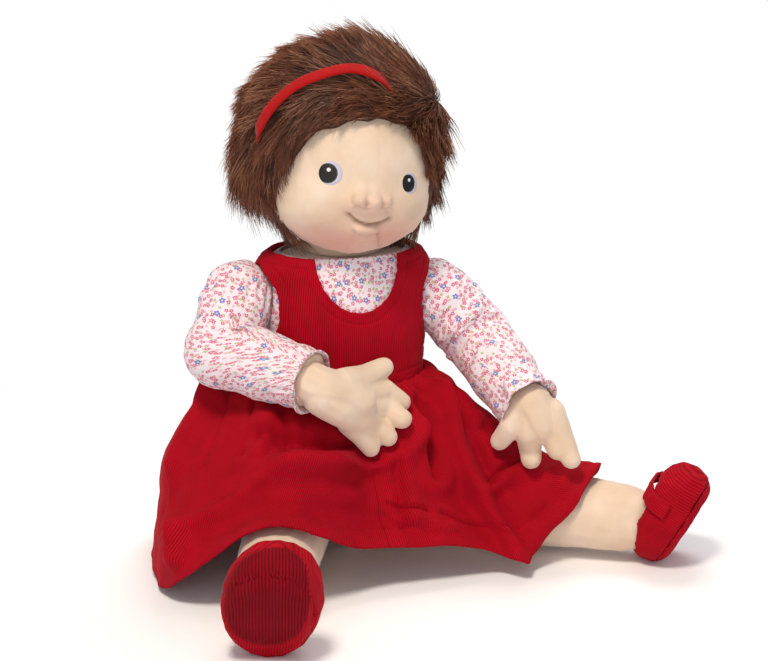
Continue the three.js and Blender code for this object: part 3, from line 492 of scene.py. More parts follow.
# Where the picture's pixels fall on the doll: the camera's own rays, for the small things that are placed one
# by one, such as the stitched features of the face
BACKWARD = Vector((
    math.sin(CAMERA_TURN) * math.cos(CAMERA_RISE),
    -math.cos(CAMERA_TURN) * math.cos(CAMERA_RISE),
    math.sin(CAMERA_RISE),
))
CAMERA_PLACE = CAMERA_AIM + BACKWARD * CAMERA_DISTANCE
RIGHTWARD = (-BACKWARD).cross(Vector((0, 0, 1))).normalized()
UPWARD = RIGHTWARD.cross(-BACKWARD)
PIXEL_REACH = CAMERA_LENS / SENSOR_WIDTH * IMAGE_WIDTH
IMAGE_MIDDLE = (IMAGE_WIDTH / 2, IMAGE_HEIGHT / 2)

# The same as arrays
BACK, RIGHT, UP = np.array(BACKWARD), np.array(RIGHTWARD), np.array(UPWARD)
CAMERA_SPOT, HEAD_SPOT = np.array(CAMERA_PLACE), np.array(HEAD_MIDDLE)
HEAD_TURNED = np.array(HEAD_FRAME.to_3x3())


def pixel_ray(px, py):
    across = (px - IMAGE_MIDDLE[0]) / PIXEL_REACH
    rise = (IMAGE_MIDDLE[1] - py) / PIXEL_REACH
    return (RIGHTWARD * across + UPWARD * rise - BACKWARD).normalized()


def pixels_of(points):
    """Pixel places of an array of points."""
    away = points - CAMERA_SPOT
    depth = -away @ BACK
    px = IMAGE_MIDDLE[0] + PIXEL_REACH * (away @ RIGHT) / depth
    py = IMAGE_MIDDLE[1] - PIXEL_REACH * (away @ UP) / depth
    return px, py


def pixel_bell(px, py, x, y, wide, high):
    """A spot that fades out round one pixel."""
    return np.exp(-(((px - x) / wide) ** 2 + ((py - y) / high) ** 2))


def surface_tree(piece):
    corners = [v.co for v in piece.data.vertices]
    return BVHTree.FromPolygons(corners, [list(face.vertices) for face in piece.data.polygons])


def packed_tree(node):
    return surface_tree(frame["nodes"][node])


class FirstHit:
    """Several trees asked as one: a ray gives the nearest of their hits."""

    def __init__(self, trees):
        self.trees = trees

    def ray_cast(self, start, way):
        hits = [hit for hit in (tree.ray_cast(start, way) for tree in self.trees) if hit[0]]
        return min(hits, key=lambda hit: hit[3]) if hits else (None, None, None, None)


def on_surface(tree, pixels):
    """Where the rays through these pixels meet a surface; a miss is left out."""
    hits = [tree.ray_cast(CAMERA_PLACE, pixel_ray(px, py))[0] for px, py in pixels]
    return np.array([hit for hit in hits if hit is not None])


def dent(points, normals, path, depth, width):
    """Sinks a groove, or raises a ridge if depth is below zero, along a line; returns its mask."""
    mask = bell(near_line(points, path), width)
    points -= normals * (mask * depth)[:, None]
    return mask


# The head: its sculpted cloth skin with the stitched features. Pixels along each line, how deep it is sunk (a
# ridge is below zero) and its half width in mm, and how dark it is coloured: the seams' and the smile's own
# stitching, and painted shade in the nostrils, the mouth's corners, the nose's creases and under the nose and
# the lower lip
STITCHED = (
    # Smile, lower lip, the fold under it, the bulge over the upper lip, the mouth's corners
    (((348.5, 214), (355, 220), (365, 224), (372, 224.5), (380, 223), (389, 219.5)), 1.9, 0.95, 0.9),
    (((358, 228.5), (366, 230), (375, 229)), -3.1, 2.6, 0),
    (((355, 231), (361, 234.5), (370, 235), (377, 233)), 1.2, 1.2, 0.25),
    (((352, 213), (362, 216), (374, 217), (384, 215)), -1.4, 3.2, 0),
    (((348.5, 213.5), (348.9, 213.5)), 1.6, 1.5, 0.6),
    (((389, 219), (389.4, 219)), 1.6, 1.5, 0.6),
    # The nose: bridge, base, nostrils, tip and wings, the creases between them, its underside
    (((371, 184), (372, 191)), 1.8, 4.0, 0),
    (((357, 212), (372, 214), (388, 212)), 2.2, 2.8, 0),
    (((367, 204), (367.4, 205)), 1.2, 1.6, 0.45),
    (((383, 206), (383.4, 207)), 1.1, 1.6, 0.45),
    (((360, 199), (360.6, 199)), -2.6, 3.3, 0),
    (((375, 202), (375.6, 202)), -2.6, 3.6, 0),
    (((387, 201), (387.6, 201)), -2.6, 2.9, 0),
    (((366.5, 198), (368, 205)), 0.8, 1.1, 0.35),
    (((382, 199), (384, 206)), 0.8, 1.1, 0.35),
    (((353, 197), (352.5, 204)), 0.8, 1.1, 0.35),
    (((357, 207), (366, 210.5), (378, 211), (389, 208.5)), 1.5, 1.3, 0.3),
    # The seams of the chin and the forehead, and the creases of the cheek
    (((377.5, 232), (378.5, 238), (379, 246)), 1.1, 1.1, 0.4),
    (((378, 124), (379, 150), (378.5, 178)), 0.25, 0.5, 0.12),
    (((352, 236), (362, 242)), 0.5, 1.4, 0),
    (((345, 240), (352, 250)), 0.5, 1.4, 0),
    (((303, 240), (318, 250), (332, 256)), 0.5, 1.4, 0),
)


def make_head():
    head = cloth_copy("head", "head_skin", SKIN, 1.3 * MM, 6)
    # The cheeks and the chin hang a little lower and fuller than the solid's
    points = points_of(head)
    local = (points - HEAD_SPOT) @ HEAD_TURNED
    jowl = smoothstep(-4 * MM, -34 * MM, local[:, 2]) * smoothstep(16 * MM, -22 * MM, local[:, 1])
    points -= UP * (jowl * 4.6 * MM)[:, None]
    points += unit(local @ HEAD_TURNED.T * (1, 1, 0)) * (jowl * 1.6 * MM)[:, None]
    move_points(head, points)
    tree = surface_tree(head)
    points, normals = points_of(head), normals_of(head)
    px, py = pixels_of(points)
    front = (normals @ BACK) > -0.2
    seam_and_crease_shade = np.zeros(len(points))

    for pixels, depth, width, dark in STITCHED:
        path = on_surface(tree, pixels)
        if len(path) > 1:
            seam_and_crease_shade = np.maximum(seam_and_crease_shade, dark * dent(points, normals, path, depth * MM, width * MM))
    points += normals * (wave_noise(points, 22 * MM, 11) * 0.35 * MM)[:, None]

    cheek = pixel_bell(px, py, 330, 246, 60, 22)
    chin = pixel_bell(px, py, 390, 240, 38, 20)
    nose = 0.3 * pixel_bell(px, py, 372, 206, 22, 14)
    blush = np.clip(0.75 * np.maximum(cheek, chin) + nose, 0, 1) * front
    # The darkening stored here is the seams' own stitching, and painted shade in the nostrils, creases and
    # under the nose and lip
    store(head, "seam_and_crease_shade", seam_and_crease_shade * front)
    store(head, "blush", blush)
    move_points(head, points)
    stuff(head, "head", "head")


def patch_on(name, tree, outline, finish, dome, depth):
    """A closed patch on a surface inside an outline of pixels: it swells by dome over its edge."""
    corners = np.array(outline, float)
    middle = corners.mean(axis=0)
    count, rings = 56, 14
    angles = np.unwrap(np.arctan2(corners[:, 1] - middle[1], corners[:, 0] - middle[0]))
    order = np.argsort(angles % (2 * math.pi))
    reaches = np.linalg.norm(corners - middle, axis=1)[order]
    turns = np.arange(count) * 2 * math.pi / count
    reach = np.interp(turns, (angles % (2 * math.pi))[order], reaches, period=2 * math.pi)
    reach = eased_ring(reach, 3)
    top, low, flat = [], [], []
    for r in range(rings + 1):
        share = r / rings
        for turn, far in zip(turns if r else turns[:1], reach if r else reach[:1]):
            x, y = middle[0] + math.cos(turn) * far * share, middle[1] + math.sin(turn) * far * share
            hit = tree.ray_cast(CAMERA_PLACE, pixel_ray(x, y))
            if hit[0] is not None:
                # A ray that misses keeps the place of the one before it
                spot, normal = hit[:2]
            rise = dome * (1 - share ** 4) ** 0.5
            top.append(spot + normal * rise)
            low.append(spot - normal * depth)
            flat.append((x - middle[0], y - middle[1], 0))
    size = len(top)
    faces = [(0, 1 + (k + 1) % count, 1 + k) for k in range(count)]
    for r in range(rings - 1):
        a, b = 1 + r * count, 1 + (r + 1) * count
        faces += [(a + k, a + (k + 1) % count, b + (k + 1) % count, b + k) for k in range(count)]
    under = [tuple(size + v for v in face[::-1]) for face in faces]
    edge = [size - count + k for k in range(count)]
    sides = [(a, b, size + b, size + a) for a, b in zip(edge, edge[1:] + edge[:1])]
    mesh = bpy.data.meshes.new(name)
    mesh.from_pydata([*top, *low], [], faces + under + sides)
    face_outward(mesh)
    return new_object(name, mesh, finish), np.array(flat + flat)


def make_eyes():
    # Pixel middle, half width and half height of each embroidered eye in the picture
    outlines = {"right": (330.7, 173.2, 12.0, 12.0), "left": (409.7, 183.2, 7.2, 10.6)}
    tree = surface_tree(bpy.data.objects["head_skin"])
    for side in SIDES:
        x, y, wide, high = outlines[side]
        turns = np.arange(24) * math.pi / 12
        rim = [(x + wide * math.cos(t), y + high * math.sin(t)) for t in turns]
        eye, flat = patch_on(f"stitched_eye_{side}", tree, rim, eye_thread(side), 0.55 * MM, 0.4 * MM)
        store(eye, "eye", flat / (wide, high, 1), "FLOAT_VECTOR")
        place(eye, "head", "thread_black", f"eye_{side}")


def make_ears():
    for side in SIDES:
        ear = cloth_copy(f"ear_{side}", f"cloth_ear_{side}", SKIN, 0.9 * MM, 5)
        stuff(ear, "head", f"ear_{side}")


# Plain stuffed parts, most of them under the clothes
def make_stuffing():
    torso = cloth_copy("torso", "body_bag", SKIN, 2.5 * MM, 6)
    stuff(torso, "body", "torso")
    neck = cloth_copy("neck", "neck_roll", SKIN, 1.6 * MM, 4)
    stuff(neck, "neck", "neck")
    for side in SIDES:
        for part, body in (("upper_arm", "upper_arm"), ("forearm", "forearm"), ("foot", "leg")):
            limb = cloth_copy(f"{part}_{side}", f"stuffed_{part}_{side}", SKIN, 1.8 * MM, 4)
            stuff(limb, f"{body}_{side}", f"{part}_{side}")
        leg = cloth_copy(f"leg_{side}", f"stuffed_leg_{side}", SKIN, 1.5 * MM, 8)
        points, normals = points_of(leg), normals_of(leg)
        ripple = wave_noise(points, 30 * MM, 5 + SIGN[side]) * 0.8 + wave_noise(points, 12 * MM, 9) * 0.3
        move_points(leg, points + normals * (ripple * MM)[:, None])
        stuff(leg, f"leg_{side}", f"leg_{side}")


# The hands: palm, thumb and fingers, each a line of pixels in the picture with its half width
# in mm. They lie on the clothes, so their depth is the cloth's under each pixel.
FINGERS = {
    "right": (
        (((322, 388), (340, 393), (357, 402)), (13.5, 13.0, 12.0)),
        (((322, 396), (340, 408), (356, 419)), (12.5, 11.5, 9.5)),
        (((342, 386), (366, 377), (384, 367)), (11.0, 8.0, 6.2)),
        (((362, 394), (384, 390), (401, 402)), (10.0, 7.2, 6.2)),
        (((362, 404), (385, 407), (402, 419)), (9.8, 7.4, 6.4)),
        (((358, 414), (374, 424), (388, 437)), (9.8, 7.2, 6.2)),
        (((350, 422), (360, 434), (371, 448)), (8.8, 6.8, 5.9)),
    ),
    "left": (
        (((531, 404), (537, 415), (541, 426)), (13.5, 13.0, 11.5)),
        (((522, 410), (511, 426), (500, 441)), (9.8, 7.4, 6.2)),
        (((528, 414), (529, 432), (530, 446), (531, 459)), (11.0, 9.0, 7.4, 6.6)),
        (((545, 418), (551, 434), (557, 450)), (10.5, 7.8, 6.4)),
        (((550, 414), (561, 436), (571, 459)), (10.5, 7.8, 6.4)),
    ),
}


def make_hands():
    under = FirstHit([packed_tree(node) for node in ("pinafore_skirt", "pinafore_bodice")])
    for side in SIDES:
        wrist = limb_bend(side)[2]
        work = bmesh.new()
        for number, (pixels, widths) in enumerate(FINGERS[side]):
            spots = []
            for (px, py), width in zip(pixels, widths):
                ray = pixel_ray(px, py)
                level = (wrist - CAMERA_PLACE).dot(-BACKWARD) / ray.dot(-BACKWARD)
                _, normal, _, reach = under.ray_cast(CAMERA_PLACE, ray)
                resting = level
                if normal:
                    resting = reach - (width + 1.2) * MM / max(0.6, abs(ray.dot(normal)))
                near_wrist = 1 / (1 + ((CAMERA_PLACE + ray * level - wrist).length / (26 * MM)) ** 4)
                spots.append(CAMERA_PLACE + ray * (resting * (1 - near_wrist) + level * near_wrist))
            if number == 0:
                spots, widths = [wrist, *spots], (12.8, *widths)
            for start, end, low, high in zip(spots, spots[1:], widths, widths[1:]):
                steps = max(2, int((end - start).length / (1.4 * MM)))
                for k in range(steps + 1):
                    radius = (low + (high - low) * (k / steps)) * MM
                    ball = bmesh.ops.create_icosphere(work, subdivisions=2, radius=radius)
                    bmesh.ops.translate(work, verts=ball["verts"], vec=start.lerp(end, k / steps))
        name = f"stitched_hand_{side}"
        hand = evened(name, mesh_from(work, name), SKIN, 0.9 * MM, 12)
        points, normals = points_of(hand), normals_of(hand)
        points += normals * (wave_noise(points, 14 * MM, 3) * 0.35 * MM)[:, None]
        move_points(hand, points)
        stuff(hand, f"forearm_{side}", f"hand_{side}")


def smooth_grid(grid, passes):
    """Evens out rows of points or numbers that close on themselves; the end rows ease along."""
    for _ in range(passes):
        across = (np.roll(grid, 1, axis=1) + np.roll(grid, -1, axis=1)) / 2
        along = grid.copy()
        along[1:-1] = (grid[:-2] + grid[2:]) / 2
        mixed = (across + along) / 2
        for row in (0, -1):
            mixed[row] = across[row] * 0.5 + grid[row] * 0.5
        grid = (grid + mixed) / 2
    return grid


def grid_normals(grid, aim):
    """A closed grid's normals, turned so that the middle one of its first column faces aim."""
    across = np.roll(grid, -1, axis=1) - np.roll(grid, 1, axis=1)
    normals = unit(np.cross(across, np.gradient(grid, axis=0)))
    return normals * math.copysign(1, normals[len(grid) // 2, 0] @ np.array(aim))


def cloth_from_grid(name, grid, finish, thickness, wrap=True, keep=None):
    """A sheet of cloth from a grid of points, with its thickness to the inside; keep masks its cells."""
    rows, columns = grid.shape[:2]
    faces = []
    for i in range(rows - 1):
        for j in range(columns if wrap else columns - 1):
            k = (j + 1) % columns
            if keep is None or keep[i:i + 2, [j, k]].all():
                faces.append((i * columns + j, i * columns + k, (i + 1) * columns + k, (i + 1) * columns + j))
    mesh = bpy.data.meshes.new(name)
    mesh.from_pydata(grid.reshape(-1, 3).tolist(), [], faces)
    # Its UV map is in metres: the mean way along the rows, and each column's own way down
    steps = np.linalg.norm(np.roll(grid, -1, axis=1) - grid, axis=2)
    middle = steps.mean(axis=0) if wrap else steps[:, :-1].mean(axis=0)
    u = np.concatenate([[0], np.cumsum(middle)])
    steps = np.linalg.norm(grid[1:] - grid[:-1], axis=2)
    v = np.concatenate([np.zeros((1, columns)), np.cumsum(steps, axis=0)])
    loops = read(mesh.loops, "vertex_index").astype(int)
    row, column = loops // columns, loops % columns
    closes = wrap & (column == 0) & np.isin(np.arange(len(loops)) % 4, (1, 2))
    uv = np.stack([np.where(closes, u[-1], u[column]), v[row, column]], axis=1)
    mesh.uv_layers.new(name="cloth").data.foreach_set("uv", uv.reshape(-1).astype(np.float32))
    piece = new_object(name, mesh, finish)
    store(piece, "wale", np.repeat(u[None, :columns], rows, axis=0))
    store(piece, "column", np.tile(np.arange(columns), rows))
    shell = piece.modifiers.new("thickness", "SOLIDIFY")
    shell.thickness = thickness
    shell.offset = -1
    bake(piece)
    loose = bmesh.new()
    loose.from_mesh(piece.data)
    bmesh.ops.delete(loose, geom=[v for v in loose.verts if not v.link_faces], context="VERTS")
    loose.to_mesh(piece.data)
    loose.free()
    face_outward(piece.data)
    return piece


def limb_bend(side):
    """Shoulder, elbow and wrist of one arm, from the joints and the forearm's own length."""
    shoulder, elbow = JOINT[f"shoulder_{side}"], JOINT[f"elbow_{side}"]
    fore = points_of(frame["nodes"][f"forearm_{side}"]) - np.array(elbow)
    way = fore.mean(axis=0) / np.linalg.norm(fore.mean(axis=0))
    wrist = elbow + Vector(way) * float((fore @ way).max())
    return shoulder, elbow, wrist


SLEEVE_LENGTHS = 150
SLEEVE_TURNS = 110


def make_sleeve(side):
    """A sleeve round its arm: its solid's surface along a smooth middle line, with creases."""
    shoulder, elbow, wrist = limb_bend(side)
    tree = packed_tree(f"blouse_sleeve_{side}")
    ball = 21.2 * MM
    up_way, fore_way = (elbow - shoulder).normalized(), (wrist - elbow).normalized()
    knots = [shoulder - up_way * ball * 0.93, shoulder, elbow - up_way * 12 * MM, elbow,
             elbow + fore_way * 12 * MM, wrist + fore_way * 0.5 * MM]
    stops = np.concatenate([[0], np.cumsum([(b - a).length for a, b in zip(knots[:-1], knots[1:])])])
    places = np.linspace(0, stops[-1], SLEEVE_LENGTHS)
    line = sampled(knots, stops, places)
    for _ in range(60):
        line[1:-1] = (line[1:-1] * 2 + line[:-2] + line[2:]) / 4
    tangents = np.gradient(line, axis=0)
    tangents /= np.linalg.norm(tangents, axis=1, keepdims=True)
    axis = np.cross(tangents[0], (0, 0, 1))
    reaches, ways = np.empty((SLEEVE_LENGTHS, SLEEVE_TURNS)), np.empty((SLEEVE_LENGTHS, SLEEVE_TURNS, 3))
    for i in range(SLEEVE_LENGTHS):
        axis = axis - tangents[i] * (axis @ tangents[i])
        axis /= np.linalg.norm(axis)
        other = np.cross(tangents[i], axis)
        before = places[i] - ball * 0.93
        plain = math.sqrt(max(ball ** 2 - before ** 2, (ball * 0.3) ** 2)) if before < 0 else ball
        for j in range(SLEEVE_TURNS):
            angle = 2 * math.pi * j / SLEEVE_TURNS
            way = axis * math.cos(angle) + other * math.sin(angle)
            start = Vector(line[i] + way * 2 * ball)
            hit = tree.ray_cast(start, Vector(-way), 2 * ball)[0]
            reach = (hit - Vector(line[i])).length if hit else plain
            reaches[i, j] = reach if abs(reach - plain) < 8 * MM else plain
            ways[i, j] = way
    reaches = smooth_grid(reaches, 14)
    along = places / stops[-1]
    inner = np.array((fore_way - up_way).normalized())
    crook = np.clip(ways @ inner, 0, 1) ** 0.7
    outer_side = np.clip(-(ways @ inner), 0, 1)
    grid = line[:, None, :] + ways * reaches[:, :, None]
    # Creases in the crook of the elbow, slack cloth elsewhere, gathers at the cap and the cuff
    near_bend = bell(along - stops[3] / stops[-1], 0.17)[:, None]
    draw = np.random.default_rng(40 + SIGN[side])
    phase = wave_noise(grid, 38 * MM, 21 + SIGN[side])
    creases = np.sin((along[:, None] * 2 * math.pi * 9.0) + 2.4 * phase + draw.uniform(0, 6))
    slack = np.sin(along[:, None] * 2 * math.pi * 4.2 + 2.8 * phase + 1.3)
    cap = bell(along - 0.16, 0.09)[:, None]
    cuff = bell(along - 0.93, 0.05)[:, None]
    ring = np.arange(SLEEVE_TURNS)[None, :] * 2 * math.pi / SLEEVE_TURNS
    gathers = np.sin(ring * 17 + 3 * phase)
    swell = (
        near_bend * (crook * (2.2 * creases - 1.2) + outer_side * 0.8 * slack)
        + 0.9 * slack * (1 - near_bend) * (1 - cuff)
        + 0.7 * cap * gathers
        + 0.35 * cuff * gathers
        + 0.7 * wave_noise(grid, 13 * MM, 33 + SIGN[side])
    )
    snug = -2.2 * smoothstep(0.9, 1.0, along)[:, None]
    hem_groove = -0.5 * bell(along - 0.945, 0.006)[:, None]
    swell = (swell + snug + hem_groove + 0.6) * np.clip((along - 0.02) / 0.1, 0, 1)[:, None]
    grid = grid + ways * (swell * MM)[:, :, None]
    # The head of the sleeve closes over the shoulder, under the pinafore's strap
    closing = [line[0] - tangents[0] * 3 * MM * (1 - share ** 2) + (grid[0] - line[0]) * share
               for share in (0.1, 0.4, 0.7)]
    grid = np.concatenate([np.array(closing), grid])
    sleeve = cloth_from_grid(f"printed_sleeve_{side}", grid, PRINT, 0.9 * MM)
    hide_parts(f"blouse_sleeve_{side}")
    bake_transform(sleeve)


# The middle line of the body, which the clothes go round
BODY_MIDDLE = np.array((4, 0, 0)) * MM


def body_grid(node, low, high, rows, columns, limit):
    """A node's surface round the body, seen from outside, and a mask of where it is there."""
    tree = packed_tree(node)
    centre, far = BODY_MIDDLE[:2], 130 * MM
    turns = np.arange(columns) * 2 * math.pi / columns
    heights = np.linspace(low, high, rows)
    reach = np.full((rows, columns), np.nan)
    for i, height in enumerate(heights):
        for j, turn in enumerate(turns):
            way = Vector((math.cos(turn), math.sin(turn), 0))
            hit = tree.ray_cast(Vector((*centre, height)) + way * far, -way, far - limit)[0]
            if hit:
                reach[i, j] = (hit.xy - Vector(centre)).length
    keep = ~np.isnan(reach)
    places = np.arange(columns)
    for row, known, above in zip(reach, keep, [reach[0], *reach]):
        row[:] = np.interp(places, places[known], row[known], period=columns) if known.any() else above
    reach = smooth_grid(reach, 6)
    x, y = centre[0] + reach * np.cos(turns), centre[1] + reach * np.sin(turns)
    return np.stack([x, y, np.repeat(heights[:, None], columns, axis=1)], axis=2), keep


def make_blouse():
    low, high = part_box("blouse_body")
    grid, keep = body_grid("blouse_body", low.z + 0.3 * MM, high.z - 0.3 * MM, 130, 220, 18 * MM)
    ease = wave_noise(grid, 24 * MM, 51) * 0.25 * MM
    grid = grid + grid_normals(grid, (1, 0, 0)) * ease[:, :, None]
    blouse = cloth_from_grid("printed_blouse", grid, PRINT, 0.8 * MM, keep=keep)
    place(blouse, "body", "print_cotton", "blouse_body")


def make_bodice():
    bodice = cloth_copy("pinafore_bodice", "corduroy_bodice", CORD, 0.85 * MM, 8)
    points, normals = points_of(bodice), normals_of(bodice)
    outward = unit(points * (1, 1, 0) - BODY_MIDDLE)
    facing = (normals * outward).sum(axis=1)
    # Its edges are where the cloth turns over; a row of stitches runs 7 mm inside them
    rim = points[np.abs(facing) < 0.35]
    from_rim, _ = near_spots(points, rim[::6])
    outer = facing > 0.35
    stitched = bell(from_rim - 7 * MM, 0.7 * MM) * outer
    rolled = bell(from_rim, 2.2 * MM) * outer
    ease = wave_noise(points * (1, 1, 0.4), 17 * MM, 61) * 0.35 + wave_noise(points, 40 * MM, 62) * 0.4
    points += normals * ((ease + 0.5 * rolled - 0.55 * stitched) * MM)[:, None]
    move_points(bodice, points)
    turn = np.arctan2(points[:, 1], points[:, 0] - BODY_MIDDLE[0])
    store(bodice, "wale", turn * 52 * MM)
    place(bodice, "body", "corduroy", "pinafore_bodice")
    placket = cloth_copy("back_placket", "corduroy_placket", CORD, 0.55 * MM, 4)
    store(placket, "wale", points_of(placket)[:, 0])
    place(placket, "body", "corduroy", "back_placket")


# The skirt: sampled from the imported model's outer face, evened out, then gathered and folded
SKIRT_COLUMNS = 336
SKIRT_ROWS = 96
SKIRT_HEART = Vector((0, -8, 8)) * MM
SKIRT_FRONT = (0, -1, 0.5)


def skirt_lines():
    """The skirt solid's outer face as lines from the waist to the hem, from rays to its heart."""
    tree = packed_tree("pinafore_skirt")
    far = 320 * MM
    columns, rows = SKIRT_COLUMNS // 2, SKIRT_ROWS // 2
    grid = np.empty((rows, columns, 3))
    for j in range(columns):
        turn = 2 * math.pi * j / columns
        line = []
        # A hit that jumps away from the line, or lies under the body, is another layer
        for rise in np.linspace(math.radians(84), math.radians(-3), 170):
            way = Vector((math.sin(turn) * math.cos(rise), -math.cos(turn) * math.cos(rise), math.sin(rise)))
            hit = tree.ray_cast(SKIRT_HEART + way * far, -way, far)[0]
            if hit is None:
                continue
            out = Vector((hit.x, hit.y, 0)).length
            if not line or (hit - line[-1]).length < 40 * MM:
                if hit.z > 3 * MM or out > 60 * MM:
                    line.append(hit)
        lengths = lengths_along(np.array(line))
        grid[:, j] = sampled(line, lengths, np.linspace(0, lengths[-1], rows))
    grid = smooth_grid(grid, 10)
    # Twice as many lines and rows, between the sampled ones
    wide = np.arange(SKIRT_COLUMNS) * columns / SKIRT_COLUMNS
    tall = np.linspace(0, rows - 1, SKIRT_ROWS)
    left, part = np.floor(wide).astype(int) % columns, (wide % 1)[None, :, None]
    grid = grid[:, left] * (1 - part) + grid[:, (left + 1) % columns] * part
    low = np.minimum(np.floor(tall).astype(int), rows - 2)
    share = (tall - low)[:, None, None]
    return smooth_grid(grid[low] * (1 - share) + grid[low + 1] * share, 6)


def pixel_gap(px, py, path):
    """Each pixel place's distance to a line of pixels."""
    flat = np.stack([px, py, np.zeros(len(px))], axis=1)
    return near_line(flat, [(x, y, 0) for x, y in path])


def posed_tree(piece, joint, degrees):
    """A piece's surface once its joint is at this angle."""
    turn = Matrix.Rotation(math.radians(degrees), 3, Vector(joint["axis"]))
    root = Vector(joint["pos_m"])
    corners = [root + turn @ (v.co - root) for v in piece.data.vertices]
    return BVHTree.FromPolygons(corners, [list(face.vertices) for face in piece.data.polygons])


def gap_to(points, trees):
    """Each point's distance to the nearest surface, below zero inside it, and the way out of it."""
    best, ways = np.full(len(points), 9.0), np.zeros((len(points), 3))
    for tree in trees:
        for k, point in enumerate(points):
            spot, normal, _, gap = tree.find_nearest(Vector(point), 40 * MM)
            if spot is not None:
                inside = (Vector(point) - spot).dot(normal) < 0 and gap < 12 * MM
                gap = -gap if inside else gap
                if gap < best[k]:
                    best[k], ways[k] = gap, normal
    return best, ways


def wale_along_hem(piece, grid, first):
    """The cords run from waist to hem, so their place across is the nearest hem line's own."""
    columns = grid.shape[1]
    along = lengths_along(np.concatenate([grid[-1], grid[-1][:1]]))
    along *= round(along[-1] / CORD_PITCH) * CORD_PITCH / along[-1]
    along = along[first:first + columns // 2 + 1]
    return np.interp(read(piece.data.attributes["column"].data, "value"), np.arange(len(along)), along)


def share_normals(piece, normals, points):
    """Gives the corners where the halves meet the whole cloth's normals, so that the light runs across it."""
    spots, ways = points_of(piece), normals_of(piece)
    kd = KDTree(len(spots))
    for k, spot in enumerate(spots):
        kd.insert(spot, k)
    kd.balance()
    for spot, way in zip(points.reshape(-1, 3), normals.reshape(-1, 3)):
        ways[kd.find(spot)[1]] = way
    piece.data.normals_split_custom_set_from_vertices(ways.tolist())


# The skirt's main folds: pixels along each, its height in mm and its half width in pixels
SKIRT_FOLDS = (
    (((231, 396), (222, 425), (205, 462), (192, 503)), -13.0, 7),
    (((221, 390), (202, 430), (184, 470), (178, 520), (176, 560)), 9.0, 9),
    (((212, 392), (190, 425), (170, 475), (163, 530)), -5.0, 5),
    (((243, 398), (232, 430), (218, 462)), 9.0, 6),
    (((255, 406), (250, 430), (244, 458)), -11.0, 6),
    (((268, 412), (268, 440), (262, 462)), 8.0, 6),
    (((282, 415), (288, 440), (286, 460)), -6.0, 6),
    (((262, 440), (300, 448), (340, 450), (385, 438)), -13.0, 11),
    (((206, 490), (240, 483), (290, 476), (330, 468), (370, 454), (408, 432)), 14.0, 12),
    (((180, 520), (230, 508), (290, 500), (350, 498)), 3.0, 14),
    (((205, 535), (260, 512), (330, 512), (390, 520)), -4.0, 12),
    (((385, 505), (405, 511), (425, 514)), -4.0, 3.5),
    (((440, 514), (462, 524), (485, 530)), -4.0, 3.5),
    (((395, 521), (450, 531)), 3.5, 5),
    (((411, 390), (418, 412), (424, 440), (434, 478)), -14.0, 7),
    (((426, 384), (440, 412), (452, 450), (470, 490), (492, 520), (514, 548)), 12.0, 8),
    (((400, 430), (406, 470), (416, 520)), 5.0, 9),
    (((392, 455), (398, 490), (402, 530)), -4.0, 6),
    (((448, 398), (468, 436), (486, 474), (500, 512), (520, 540)), -9.0, 7),
    (((518, 464), (500, 474), (486, 488)), -7.0, 5),
    (((486, 494), (520, 474), (556, 464), (602, 470)), 6.0, 6),
    (((530, 520), (556, 505), (580, 480)), -3.5, 7),
    (((482, 430), (500, 436), (514, 446)), -8.0, 7),
    (((555, 470), (575, 500), (572, 530)), 3.0, 8),
)
# Where its outline leaves the solid's: pixels, a shift right, up and nearer in mm, half width
SKIRT_SHIFTS = (
    (((150, 500), (146, 560), (152, 600)), (5.5, 0, 0), 26),
    (((158, 590), (168, 596)), (0, -4.5, 0), 14),
    (((515, 556), (535, 562), (556, 556)), (0, -6.0, 2), 16),
    (((330, 550), (420, 556), (480, 550)), (0, 2.0, 0), 16),
)


